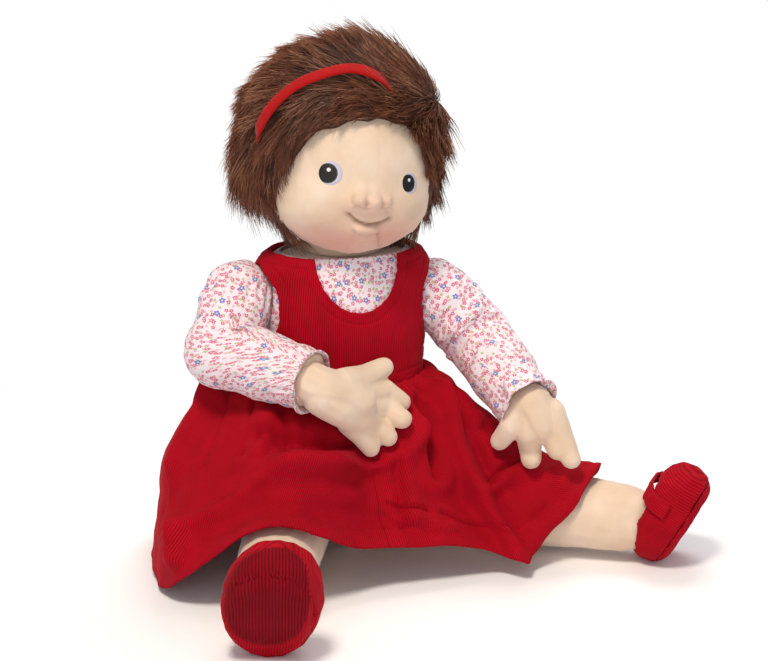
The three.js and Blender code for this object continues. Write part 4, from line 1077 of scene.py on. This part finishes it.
def make_skirt():
    grid = skirt_lines()
    rows, columns = grid.shape[:2]
    base, out = grid.reshape(-1, 3), grid_normals(grid, SKIRT_FRONT).reshape(-1, 3)
    made = bpy.data.objects
    over, _ = gap_to(base, [surface_tree(made[f"{part}_{side}"])
                            for part in ("stitched_hand", "printed_sleeve") for side in SIDES])
    # Room for the hand, and for the forearm in its sleeve, at the elbow's lower end
    for side in SIDES:
        joint = next(joint for joint in frame["joints"] if joint["name"] == f"elbow_{side}")
        for part, sleeve in (("stitched_hand", 0.0), ("stuffed_forearm", 2.5 * MM)):
            posed = posed_tree(made[f"{part}_{side}"], joint, max(joint["range_deg"]))
            over = np.minimum(over, np.maximum(gap_to(base, [posed])[0] - sleeve, 2.4 * MM))
    ring = np.tile(np.arange(columns) * 2 * math.pi / columns, rows)
    down = np.repeat(np.linspace(0, 1, rows), columns)
    px, py = pixels_of(base)
    seen = smoothstep(0.0, 0.3, out @ BACK)
    plain = 1 - 0.75 * seen

    # Gathers at the waist, soft folds further down, and the picture's own folds in front
    wander = wave_noise(base, 60 * MM, 71)
    pleats = np.abs(np.sin(ring * 28 / 2 + 0.5 * wander)) - 0.5
    fine = np.abs(np.sin(ring * 31 + 1.4 * np.sin(ring * 7 + 1))) - 0.5
    swell = 3.6 * pleats * bell(down - 0.04, 0.26) + 2.2 * fine * np.exp(-down / 0.12)
    swell += 2.4 * bell(down - 0.06, 0.06)
    swell += 2.2 * plain * np.sin(ring * 9 + 1.2 * wander) * np.sin(down * 3.0) ** 2
    swell += 0.9 * wave_noise(base, 34 * MM, 73) + 0.4 * wave_noise(base, 13 * MM, 74)
    from_waist = smoothstep(0.02, 0.14, down)
    for path, height, width in SKIRT_FOLDS:
        gap = pixel_gap(px, py, path)
        swell += height * bell(gap, width) * seen * from_waist
        if height < 0:
            # The cloth can't sink into the leg, so a groove lies between raised shoulders
            swell -= 0.75 * height * bell(gap, 2.3 * width) * seen * from_waist
    # The hem: its row of stitches, and its rolled edge
    swell += -0.7 * bell(down - (1 - 0.15), 0.006) + 0.8 * bell(1 - down, 0.012)
    limit = smooth_grid(np.clip(over / MM - 2.2, -1.5, 30).reshape(rows, columns), 6)
    swell = smooth_grid(np.minimum(swell.reshape(rows, columns), limit), 1).reshape(-1)
    points = base + out * (swell * MM)[:, None]
    for path, (right, up, nearer), width in SKIRT_SHIFTS:
        mask = bell(pixel_gap(px, py, path), width) * smoothstep(-0.5, 0.0, out @ BACK)
        points += mask[:, None] * (RIGHT * right + UP * up + BACK * nearer) * MM
    legs = [packed_tree(node) for node in ("torso", "leg_right", "leg_left")]
    # Laid back over the legs wherever a fold has sunk into one
    for _ in range(3):
        gap, away = gap_to(points, legs)
        push = np.maximum(2.6 * MM - gap, 0)
        if (push[:columns] > 0).any():
            push[:columns * 2] = 0
        points += away * smooth_grid(push.reshape(rows, columns), 1).reshape(-1)[:, None]
    # It lies on the floor with its own thickness
    points[:, 2] = np.maximum(points[:, 2], 1.7 * MM)
    grid = points.reshape(rows, columns, 3)

    half = columns // 2
    whole = grid_normals(grid, SKIRT_FRONT)
    for side, first in (("left", 0), ("right", half)):
        part = np.roll(grid, -first, axis=1)[:, :half + 1]
        piece = cloth_from_grid(f"corduroy_skirt_{side}", part, CORD, 1.4 * MM, wrap=False)
        store(piece, "wale", wale_along_hem(piece, grid, first))
        share_normals(piece, np.roll(whole, -first, axis=1)[:, [0, half]], points=part[:, [0, half]])
        if side == "left":
            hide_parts("pinafore_skirt")
        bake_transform(piece)


# Shoes: corduroy uppers over a stuffed foot, a flat sole and one strap. The right shoe shows
# its sole; these pixels are the outline of that panel
SOLE_PIXELS = (
    (224, 612), (226, 585), (235, 567), (248, 556), (265, 549), (284, 547), (299, 554), (306, 567),
    (308, 590), (306, 618), (299, 635), (280, 644), (256, 644), (238, 637), (228, 627),
)


def make_shoes():
    # The right foot is drawn out to the picture's outline, from the point where its sole stands
    root = CAMERA_PLACE + pixel_ray(270, 653) * ((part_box("shoe_sole_right")[0] - CAMERA_PLACE).length)
    for side in SIDES:
        pieces = {}
        sole_points = points_of(frame["nodes"][f"shoe_sole_{side}"])
        centre = sole_points.mean(axis=0)
        spread = np.linalg.svd(sole_points - centre, full_matrices=False)[2]
        lengthwise = spread[0] if abs(spread[0][2]) > abs(spread[1][2]) else spread[1]
        for part, voxel, passes in (("sole", 1.0, 8), ("upper", 0.85, 7), ("strap", 0.7, 5)):
            piece = cloth_copy(f"shoe_{part}_{side}", f"corduroy_{part}_{side}", CORD, voxel * MM, passes)
            points, normals = points_of(piece), normals_of(piece)
            rough = 0.5 * wave_noise(points, 20 * MM, 81) + 0.25 * wave_noise(points, 8 * MM, 82)
            points += normals * (rough * MM)[:, None]
            across = np.cross(lengthwise, spread[2]) if part == "sole" else lengthwise
            store(piece, "wale", (points - centre) @ across)
            move_points(piece, points)
            pieces[part] = piece
        if side == "right":
            for piece in (*pieces.values(), bpy.data.objects["stuffed_foot_right"]):
                points = points_of(piece)
                away = points - np.array(root)
                # 17 % taller and 4 % wider in the picture, and leaning to its right
                points += UP * (0.17 * (away @ UP))[:, None]
                points += RIGHT * (0.04 * (away @ RIGHT))[:, None]
                points += RIGHT * (0.13 * (away @ UP) - 4.0 * MM)[:, None]
                if piece is pieces["strap"]:
                    points -= BACK * 4 * MM
                    points -= RIGHT * (0.16 * ((points - points.mean(axis=0)) @ RIGHT))[:, None]
                points[:, 2] = np.maximum(points[:, 2], 0.2 * MM)
                move_points(piece, points)
            front = FirstHit([surface_tree(pieces[part]) for part in ("sole", "upper")])
            welt = on_surface(front, [*SOLE_PIXELS, SOLE_PIXELS[0]])
            for part in ("sole", "upper"):
                points, normals = points_of(pieces[part]), normals_of(pieces[part])
                dent(points, normals, welt, -1.2 * MM, 2.8 * MM)
                points[:, 2] = np.maximum(points[:, 2], 0.2 * MM)
                move_points(pieces[part], points)
            front = FirstHit([surface_tree(pieces[part]) for part in ("sole", "upper")])
            # The sole panel is the same corduroy with its shade painted into darker colours
            panel, flat = patch_on(
                "corduroy_panel_right", front, SOLE_PIXELS, CORD_SHADED, 1.6 * MM, 0.8 * MM)
            store(panel, "wale", flat[:, 0] * 0.46 * MM)
            place(panel, f"leg_{side}", "corduroy")
        for part, size in (("sole", (50, 64)), ("upper", (32, 140)), ("strap", (10, 70))):
            place(pieces[part], f"leg_{side}", "corduroy", f"shoe_{part}_{side}")


# Hair: the knitted ground of the fur, and the pile that grows on it in pointed tufts
CROWN_PIXEL = (441, 86)
# How the pile is combed where the picture shows it: pixel, then its way to the right and up
COMBED = (
    (410, 110, -1.0, -0.25), (370, 98, -1.0, -0.3), (330, 102, -0.95, -0.5), (300, 117, -0.8, -0.7),
    (280, 142, -0.6, -0.9), (262, 165, -0.45, -1.0), (262, 200, -0.15, -1.0), (285, 215, 0.1, -1.0),
    (345, 82, -1.0, -0.35), (290, 97, -0.85, -0.6), (400, 88, -1.0, 0.05), (425, 88, -0.9, -0.1),
    (425, 105, -0.9, -0.5), (425, 120, -0.7, -0.75), (438, 96, -0.9, -0.4), (440, 112, -0.5, -0.85),
    (436, 128, -0.2, -1.0), (445, 145, 0.2, -1.0), (440, 180, 0.05, -1.0), (456, 118, 0.1, -1.0),
    (415, 66, -0.5, 0.8), (436, 74, -0.7, 0.6), (450, 88, -0.7, 0.2), (428, 55, 0.1, 1.0),
    (453, 102, -0.4, -0.8),
    (400, 50, 0.15, 1.0), (360, 50, -0.2, 1.0), (320, 50, -0.6, 0.85), (290, 62, -0.85, 0.45),
    (262, 82, -0.98, 0.1), (245, 105, -0.95, -0.3), (235, 130, -1.0, -0.35), (240, 160, -0.65, -0.8),
    (380, 62, -0.4, 0.8),
)
# The headband's middle line where the picture shows it
BAND_PIXELS = (
    (255, 137), (262, 118), (275, 100), (292, 86), (312, 75), (330, 70), (348, 67), (366, 68), (385, 72),
    (402, 79), (418, 90), (430, 104),
)
# How far the fur's ground lies under the hair's solid, and how long its pile is
PILE_DEPTH = 7.0 * MM
PILE_LENGTH = 27 * MM
FUR_SHEETS = (
    # seed, roots per square metre, length, tuft size, pull to the tuft, shade
    (11, 245000, 0.62, 7.0 * MM, 0.35, -0.25),
    (12, 245000, 1.0, 9.0 * MM, 0.85, 0.0),
    (13, 245000, 1.0, 9.0 * MM, 0.95, 0.05),
    (14, 245000, 1.08, 12.0 * MM, 0.9, 0.1),
    (15, 240000, 1.12, 6.0 * MM, 0.6, 0.2),
)


def band_ring(ways, outer):
    """The headband's centre line, in order: as the picture shows it, and else as its solid lies."""
    points = points_of(frame["nodes"]["headband"])
    middle = points.mean(axis=0)
    axes = np.linalg.svd(points - middle, full_matrices=False)[2]
    upward = axes[2] if axes[2][2] > 0 else -axes[2]
    turns = np.arctan2((points - middle) @ axes[1], (points - middle) @ axes[0])
    count, sectors = 480, 48
    fine = np.arange(count) / count * 2 * math.pi - math.pi
    sector = np.floor((turns + math.pi) / (2 * math.pi) * sectors).astype(int) % sectors
    known = [k for k in range(sectors) if (sector == k).any()]
    ring = np.array([points[sector == k].mean(axis=0) for k in known])
    spots = (np.array(known) + 0.5) / sectors * 2 * math.pi - math.pi
    line = sampled(ring, spots, fine, period=2 * math.pi)
    facing = unit(line - HEAD_SPOT) @ BACK
    first = np.flatnonzero((facing < -0.3) & (np.roll(facing, 1) >= -0.3))[0]
    hidden = np.roll(line, -first, axis=0)[:int((facing < -0.3).sum())]
    worn = len(BAND_PIXELS)
    path = sampled(BAND_PIXELS, np.arange(worn), np.linspace(0, worn - 1, 60))
    seen = on_surface(packed_tree("hair"), path)
    if np.linalg.norm(hidden[-1] - seen[0]) > np.linalg.norm(hidden[-1] - seen[-1]):
        seen = seen[::-1]
    whole = np.concatenate([hidden, seen, hidden[:1]])
    places = lengths_along(whole)
    line = eased_ring(sampled(whole, places, np.arange(count) / count * places[-1]), 30)
    away = line - HEAD_SPOT
    nearby = np.argmax(unit(away) @ ways.T, axis=1)
    return eased_ring(unit(away) * (outer[nearby] - 2.6 * MM)[:, None] + HEAD_SPOT, 40), upward


def scalp():
    """The scalp under the pile: each corner's outward way, its ground and skin radius, and its faces."""
    work = bmesh.new()
    bmesh.ops.create_icosphere(work, subdivisions=6, radius=1)
    ways = np.array([v.co for v in work.verts]) @ HEAD_TURNED.T
    faces = np.array([[v.index for v in f.verts] for f in work.faces])
    work.free()
    reach = 180 * MM
    radii = np.zeros((2, len(ways)))
    for row, tree in enumerate((packed_tree("hair"), packed_tree("head"))):
        for k, way in enumerate(ways):
            hit = tree.ray_cast(HEAD_MIDDLE + Vector(way) * reach, -Vector(way), reach - 15 * MM)[0]
            radii[row, k] = (hit - HEAD_MIDDLE).length if hit is not None else 0
    kept = (radii[0] > 0) & (radii[0] > radii[1] + 1.5 * MM)
    faces = faces[kept[faces].all(axis=1)]
    used, renumbered = np.unique(faces, return_inverse=True)
    faces = renumbered.reshape(-1, 3)
    outer, skin = radii[0][used], radii[1][used]
    pairs = edges_of(faces)
    outer = eased_over(outer, pairs, 6)
    ends = {tuple(pair) for pair in pairs.tolist()}
    rim = np.array([pair for pair in ends if pair[::-1] not in ends])
    ways = ways[used]
    for _ in range(12):
        total = np.zeros_like(ways)
        np.add.at(total, rim[:, 0], ways[rim[:, 1]])
        np.add.at(total, rim[:, 1], ways[rim[:, 0]])
        edge = np.unique(rim)
        ways[edge] = unit(0.5 * ways[edge] + 0.5 * unit(total[edge]))
    return ways, outer, skin, faces, rim


def pile_fields(ways, outer, rim_points, roots):
    """Which way the pile is combed, how long it is and where none grows, at each scalp corner."""
    # Combed away from the crown, and down where the head falls away; the picture's own
    # directions take over where it shows the hair
    crown = on_surface(packed_tree("hair"), [CROWN_PIXEL])[0] - HEAD_SPOT
    comb = unit(-flattened(unit(crown), ways))
    down = flattened(np.array((0.0, 0.0, -1.0)), ways)
    falling = smoothstep(0.45, -0.35, ways[:, 2])[:, None]
    comb = unit(comb * (1 - 0.75 * falling) + down * falling)
    px, py = pixels_of(HEAD_SPOT + ways * outer[:, None])
    painted, weights = np.zeros((len(ways), 2)), np.full(len(ways), 1e-6)
    for x, y, right, up in COMBED:
        near = np.exp(-(((px - x) ** 2 + (py - y) ** 2) / 20 ** 2))
        painted += near[:, None] * np.array((right, up))
        weights += near
    painted /= weights[:, None]
    seen = (smoothstep(-0.25, 0.2, ways @ BACK) * np.clip(weights * 3, 0, 1))[:, None]
    as_seen = painted[:, :1] * RIGHT + painted[:, 1:] * UP
    comb = unit(comb * (1 - seen) + flattened(as_seen, ways) * seen)
    facing = ways @ BACK > 0
    covered = facing & ((px > 382) | (px < 254))
    # Beside the band the pile is parted up and down, and lies flatter
    ring, upward = band_ring(ways, outer)
    gaps, nearest = near_spots(roots, ring[::4])
    height = gaps * np.sign((roots - ring[::4][nearest]) @ upward)
    beside = bell(height, 11 * MM) * ~covered
    comb = unit(comb + flattened(upward, ways) * (np.sign(height) * beside * 0.7)[:, None])
    rise = 3.2 + 0.6 * smoothstep(0.3, 0.9, ways[:, 2]) - 1.5 * beside
    low_side = smoothstep(120, 165, py) * smoothstep(-0.35, 0.0, ways @ BACK)
    rise = rise * (1 - 0.85 * low_side)
    local = ways @ HEAD_TURNED
    front = smoothstep(-0.1, -0.5, local[:, 1])
    face_rim = rim_points[(rim_points - HEAD_SPOT) @ HEAD_TURNED[:, 1] < -18 * MM]
    edge, _ = near_spots(roots, face_rim)
    # Shorter along the face, over the ear, on the crown and low at the right, longer in one wing
    length = np.minimum(PILE_LENGTH, 10 * MM + edge) * front + PILE_LENGTH * (1 - front)
    length *= 1 - 0.4 * smoothstep(415, 440, px) * smoothstep(85, 130, py)
    length *= 1 - 0.15 * smoothstep(0.4, 0.9, ways[:, 2])
    length *= 1 - 0.4 * smoothstep(168, 195, py) * smoothstep(275, 250, px)
    wing = pixel_bell(px, py, 236, 138, 18, 17) * (ways @ BACK > -0.3)
    length *= 1 + 0.45 * wing
    rise += 3.5 * wing
    # Hardly any grows under the band, except where the pile covers it
    density = np.where((np.abs(height) < 5.2 * MM) & ~covered, 0.02, 1.0)
    return comb, rise * MM, length, density, falling[:, 0], ring


def fur_nodes():
    """The node tree that grows the pile: roots, tufts, and fibres that run to a point."""
    tree = bpy.data.node_groups.new("fur_pile", "GeometryNodeTree")
    tree.interface.new_socket("Geometry", in_out="INPUT", socket_type="NodeSocketGeometry")
    for name, kind in (("Roots per area", "Float"), ("Seed", "Int"), ("Length share", "Float"),
                       ("Tuft size", "Float"), ("Tuft pull", "Float"), ("Shade", "Float"),
                       ("Fibre radius", "Float"), ("Finish", "Material")):
        tree.interface.new_socket(name, in_out="INPUT", socket_type=f"NodeSocket{kind}")
    tree.interface.new_socket("Geometry", in_out="OUTPUT", socket_type="NodeSocketGeometry")
    given = add(tree, "NodeGroupInput").outputs
    number, way = partial(calc, tree), partial(vector, tree)
    times = partial(number, "MULTIPLY")

    def named(name, kind="FLOAT"):
        return add(tree, "GeometryNodeInputNamedAttribute", {"Name": name}, data_type=kind).outputs[0]

    def keep(geometry, name, value, kind="FLOAT"):
        inputs = {"Geometry": geometry, "Name": name, "Value": value}
        return add(tree, "GeometryNodeStoreNamedAttribute", inputs, data_type=kind, domain="POINT").outputs[0]

    def chance(seed):
        """A number from 0 to 1 for each root."""
        inputs = {2: 0.0, 3: 1.0, "Seed": number("ADD", given["Seed"], seed)}
        return add(tree, "FunctionNodeRandomValue", inputs, data_type="FLOAT").outputs[1]

    # The roots, each with its own place and three numbers of its own, and a line on each root
    points = add(tree, "GeometryNodeDistributePointsOnFaces", {
        "Mesh": given["Geometry"], "Seed": given["Seed"],
        "Density": times(given["Roots per area"], named("density")),
    }, distribute_method="RANDOM").outputs["Points"]
    points = keep(points, "root", add(tree, "GeometryNodeInputPosition").outputs[0], "FLOAT_VECTOR")
    for k, name in enumerate(("pick_a", "pick_b", "pick_c")):
        points = keep(points, name, chance(k * 7 + 1))
    line = add(tree, "GeometryNodeCurvePrimitiveLine", {"End": (0, 0, 0.01)})
    line = add(tree, "GeometryNodeResampleCurve", {"Curve": line.outputs[0], "Count": 5})
    fibres = add(tree, "GeometryNodeInstanceOnPoints", {"Points": points, "Instance": line.outputs[0]})
    fibres = add(tree, "GeometryNodeRealizeInstances", {"Geometry": fibres.outputs[0]}).outputs[0]

    # Tufts are the cells of a Voronoi texture: its colour gives each tuft numbers of its own
    root, comb, outward = (named(name, "FLOAT_VECTOR") for name in ("root", "comb", "outward"))
    picks = [named(name) for name in ("pick_a", "pick_b", "pick_c")]
    share = add(tree, "GeometryNodeSplineParameter").outputs["Factor"]
    scale = number("DIVIDE", 1.0, given["Tuft size"])
    cells = add(tree, "ShaderNodeTexVoronoi", {"Vector": root, "Scale": scale}).outputs
    swing = way("SUBTRACT", cells["Color"], (0.5, 0.5, 0.5))
    tuft = add(tree, "ShaderNodeSeparateXYZ", {0: cells["Color"]}).outputs
    to_tuft = way("SUBTRACT", cells["Position"], root)
    to_tuft = way("SUBTRACT", to_tuft, way("SCALE", outward, way("DOT_PRODUCT", to_tuft, outward)))
    stray = add(tree, "ShaderNodeCombineXYZ", dict(enumerate(picks))).outputs[0]
    stray = way("SUBTRACT", stray, (0.5, 0.5, 0.5))

    # A fibre leaves its root along the comb, swings with its tuft, strays a little, is drawn to
    # the tuft's middle, rises, and bends down with the head
    length = times(named("length"), given["Length share"])
    length = times(length, number("MULTIPLY_ADD", tuft[0], 0.5, 0.72))
    length = times(length, number("MULTIPLY_ADD", picks[0], 0.3, 0.8))
    travel = times(length, share)
    rise = times(named("rise"), number("POWER", share, 0.75))
    rise = times(rise, number("MULTIPLY_ADD", tuft[1], 0.9, 0.5))
    bend = times(times(travel, travel), named("bend"))
    path = way("SCALE", comb, travel)
    for heading, amount in (
        (swing, times(travel, 0.6)),
        (stray, times(travel, times(share, 0.3))),
        (to_tuft, times(number("POWER", share, 1.4), given["Tuft pull"])),
        (outward, number("SUBTRACT", rise, bend)),
    ):
        path = way("ADD", path, way("SCALE", heading, amount))
    grown = add(tree, "GeometryNodeSetPosition", {"Geometry": fibres, "Position": way("ADD", root, path)})
    shade = number("MULTIPLY_ADD", tuft[2], 0.5, times(picks[1], 0.5))
    grown = keep(grown.outputs[0], "tint", number("ADD", shade, given["Shade"]))
    grown = keep(grown, "along", share)
    taper = number("SUBTRACT", 1.0, times(number("POWER", share, 2.0), 0.85))
    ring = add(tree, "GeometryNodeCurvePrimitiveCircle", {"Resolution": 3, "Radius": 1.0})
    solid = add(tree, "GeometryNodeCurveToMesh", {
        "Curve": grown, "Profile Curve": ring.outputs[0], "Fill Caps": True,
        "Scale": times(taper, given["Fibre radius"]),
    }).outputs[0]
    finished = add(tree, "GeometryNodeSetMaterial", {"Geometry": solid, "Material": given["Finish"]})
    tree.links.new(finished.outputs[0], add(tree, "NodeGroupOutput").inputs[0])
    return tree


def make_hair():
    ways, outer, skin, faces, rim = scalp()
    px, py = pixels_of(HEAD_SPOT + ways * outer[:, None])
    right_side = smoothstep(415, 440, px) * smoothstep(85, 130, py) * (ways @ BACK > -0.4)
    left_side = smoothstep(275, 245, px) * smoothstep(150, 190, py) * (ways @ BACK > -0.4)
    deeper = PILE_DEPTH + (6.5 * right_side + 3.0 * left_side) * MM
    ground = np.maximum(outer - deeper, skin + 1.3 * MM)
    roots = HEAD_SPOT + ways * ground[:, None]
    rim_points = roots[np.unique(rim)]
    comb, rise, length, density, falling, ring = pile_fields(ways, outer, rim_points, roots)
    # Eased from corner to corner, so that the pile stands up where its directions part
    pairs = edges_of(faces)
    comb = eased_over(comb, np.concatenate([pairs, pairs[:, ::-1]]), 30)

    inner = HEAD_SPOT + ways * np.maximum(ground - 1.4 * MM, skin + 0.4 * MM)[:, None]
    count = len(roots)
    bridge = [quad for a, b in rim.tolist() for quad in ((b, a, a + count), (b, a + count, b + count))]
    cap_mesh = bpy.data.meshes.new("fur_ground")
    cap_mesh.from_pydata(np.concatenate([roots, inner]).tolist(), [],
                         faces.tolist() + (faces[:, ::-1] + count).tolist() + bridge)
    cap_mesh.shade_smooth()
    cap = new_object("fur_ground", cap_mesh, GROUND)
    place(cap, "head", "hair_pile", "hair")

    # The fibres bend down with the curve of a head of 60 mm, less where they already hang
    bend = (1 - 0.9 * falling) / (2 * 60 * MM)
    tree = fur_nodes()
    inputs = {item.name: item.identifier for item in tree.interface.items_tree if item.in_out == "INPUT"}
    for number, (seed, roots_each, share, tuft_size, pull, shade) in enumerate(FUR_SHEETS):
        mesh = bpy.data.meshes.new(f"fur_pile_{number + 1}")
        mesh.from_pydata(roots.tolist(), [], faces.tolist())
        piece = new_object(f"fur_pile_{number + 1}", mesh, FUR)
        store(piece, "comb", comb, "FLOAT_VECTOR")
        store(piece, "outward", ways, "FLOAT_VECTOR")
        for name, values in (("rise", rise), ("length", length), ("density", density), ("bend", bend)):
            store(piece, name, values)
        grow = piece.modifiers.new("pile", "NODES")
        grow.node_group = tree
        for name, value in (("Roots per area", float(roots_each)), ("Seed", seed), ("Length share", share),
                            ("Tuft size", tuft_size), ("Tuft pull", pull), ("Shade", shade),
                            ("Fibre radius", 0.29 * MM), ("Finish", FUR)):
            grow[inputs[name]] = value
        bake(piece)
        place(piece, "head", "hair_pile")
    return ring


# The headband: a flat knitted band that lies in the pile
def make_headband(line):
    count = len(line)
    forward = unit(np.roll(line, -1, axis=0) - np.roll(line, 1, axis=0))
    outward = unit(flattened(unit(line - HEAD_SPOT), forward))
    across = np.cross(forward, outward)
    travel = lengths_along(line)
    px, _ = pixels_of(line)
    ends = np.maximum(smoothstep(362, 408, px), smoothstep(262, 248, px))
    sunk = 9.0 * MM * ends * smoothstep(-0.5, 0.0, outward @ BACK)
    rows = 16
    turn = np.arange(rows) / rows * 2 * math.pi
    stitch = 1.9 * MM
    wide, thick = 4.3 * MM, 1.2 * MM
    grid = np.empty((rows, count, 3))
    for k, angle in enumerate(turn):
        flat = math.copysign(abs(math.cos(angle)) ** 0.8, math.cos(angle))
        tall = math.copysign(abs(math.sin(angle)) ** 0.6, math.sin(angle))
        knit = 0.28 * MM * np.cos(2 * math.pi * (travel / stitch + 1.2 * abs(flat))) * abs(tall)
        rib = 0.2 * MM * math.cos(flat * 9)
        out = 1.9 * MM + (thick + rib) * tall + knit * np.sign(tall) - sunk
        grid[k] = line + across * (wide * flat) + outward * out[:, None]
    faces = [(i * count + j, i * count + (j + 1) % count, (i + 1) % rows * count + (j + 1) % count,
              (i + 1) % rows * count + j) for i in range(rows) for j in range(count)]
    mesh = bpy.data.meshes.new("knitted_headband")
    mesh.from_pydata(grid.reshape(-1, 3).tolist(), [], faces)
    face_outward(mesh)
    band = new_object("knitted_headband", mesh, YARN)
    place(band, "head", "knit_red", "headband")


def aimed(name, data, spot, way):
    """A camera or a lamp at a spot, looking along a way."""
    made = bpy.data.objects.new(name, data)
    made.location = spot
    made.rotation_mode = "QUATERNION"
    made.rotation_quaternion = way.to_track_quat("-Z", "Y")
    bpy.context.scene.collection.objects.link(made)
    return made


# Camera, light and ground
def make_stage():
    camera = bpy.data.cameras.new("camera")
    camera.lens, camera.sensor_width = CAMERA_LENS, SENSOR_WIDTH
    camera.clip_start, camera.clip_end = 0.05, 20
    bpy.context.scene.camera = aimed("camera", camera, CAMERA_PLACE, -BACKWARD)
    for name, spot, size, power, colour in (
        ("key", (-0.5, -0.75, 1.75), 0.45, 23, "fff3e6"),
        ("fill", (-0.6, -1.6, 0.5), 1.2, 6, "f6f3ff"),
        ("top", (0.5, 0.6, 1.4), 0.8, 10, "ffffff"),
    ):
        lamp = bpy.data.lights.new(name, "AREA")
        lamp.shape, lamp.size, lamp.energy = "DISK", size, power
        lamp.color = linear(colour)[:3]
        aimed(name, lamp, spot, LAMP_AIM - Vector(spot))
    world = bpy.data.worlds.new("studio")
    world.use_nodes = True
    bpy.context.scene.world = world
    tree = world.node_tree
    tree.nodes.clear()
    soft = add(tree, "ShaderNodeBackground", {"Color": linear("f4f4f6"), "Strength": 0.42}).outputs[0]
    white = add(tree, "ShaderNodeBackground", {"Color": (1, 1, 1, 1), "Strength": 1.0}).outputs[0]
    seen = add(tree, "ShaderNodeLightPath").outputs["Is Camera Ray"]
    mixed = add(tree, "ShaderNodeMixShader", {0: seen, 1: soft, 2: white})
    tree.links.new(mixed.outputs[0], add(tree, "ShaderNodeOutputWorld").inputs["Surface"])

    # White paper that takes the doll's soft shadow near by and fades into the white behind it
    paper, tree, shader = material("paper_floor", Roughness=0.9, Specular_IOR_Level=0.0,
                                   Base_Color=linear("fafafa"))
    reach = vector(tree, "LENGTH", own_place(tree))
    fade = add(tree, "ShaderNodeMapRange", {"Value": reach, "From Min": 0.2, "From Max": 0.42}).outputs[0]
    glow = add(tree, "ShaderNodeEmission", {"Color": (1, 1, 1, 1), "Strength": 1.0}).outputs[0]
    mixed = add(tree, "ShaderNodeMixShader", {0: fade, 1: shader.outputs[0], 2: glow})
    tree.links.new(mixed.outputs[0], tree.nodes["Material Output"].inputs["Surface"])
    mesh = bpy.data.meshes.new("floor")
    mesh.from_pydata([(-1.8, -1.2, 0), (1.8, -1.2, 0), (1.8, 2.4, 0), (-1.8, 2.4, 0)], [], [(0, 1, 2, 3)])
    new_object("floor", mesh, paper)
    bpy.context.scene.view_settings.view_transform = "Standard"


make_head()
make_eyes()
make_ears()
make_stuffing()
make_hands()
for side in SIDES:
    make_sleeve(side)
make_blouse()
make_bodice()
make_skirt()
make_shoes()
make_headband(make_hair())
make_stage()
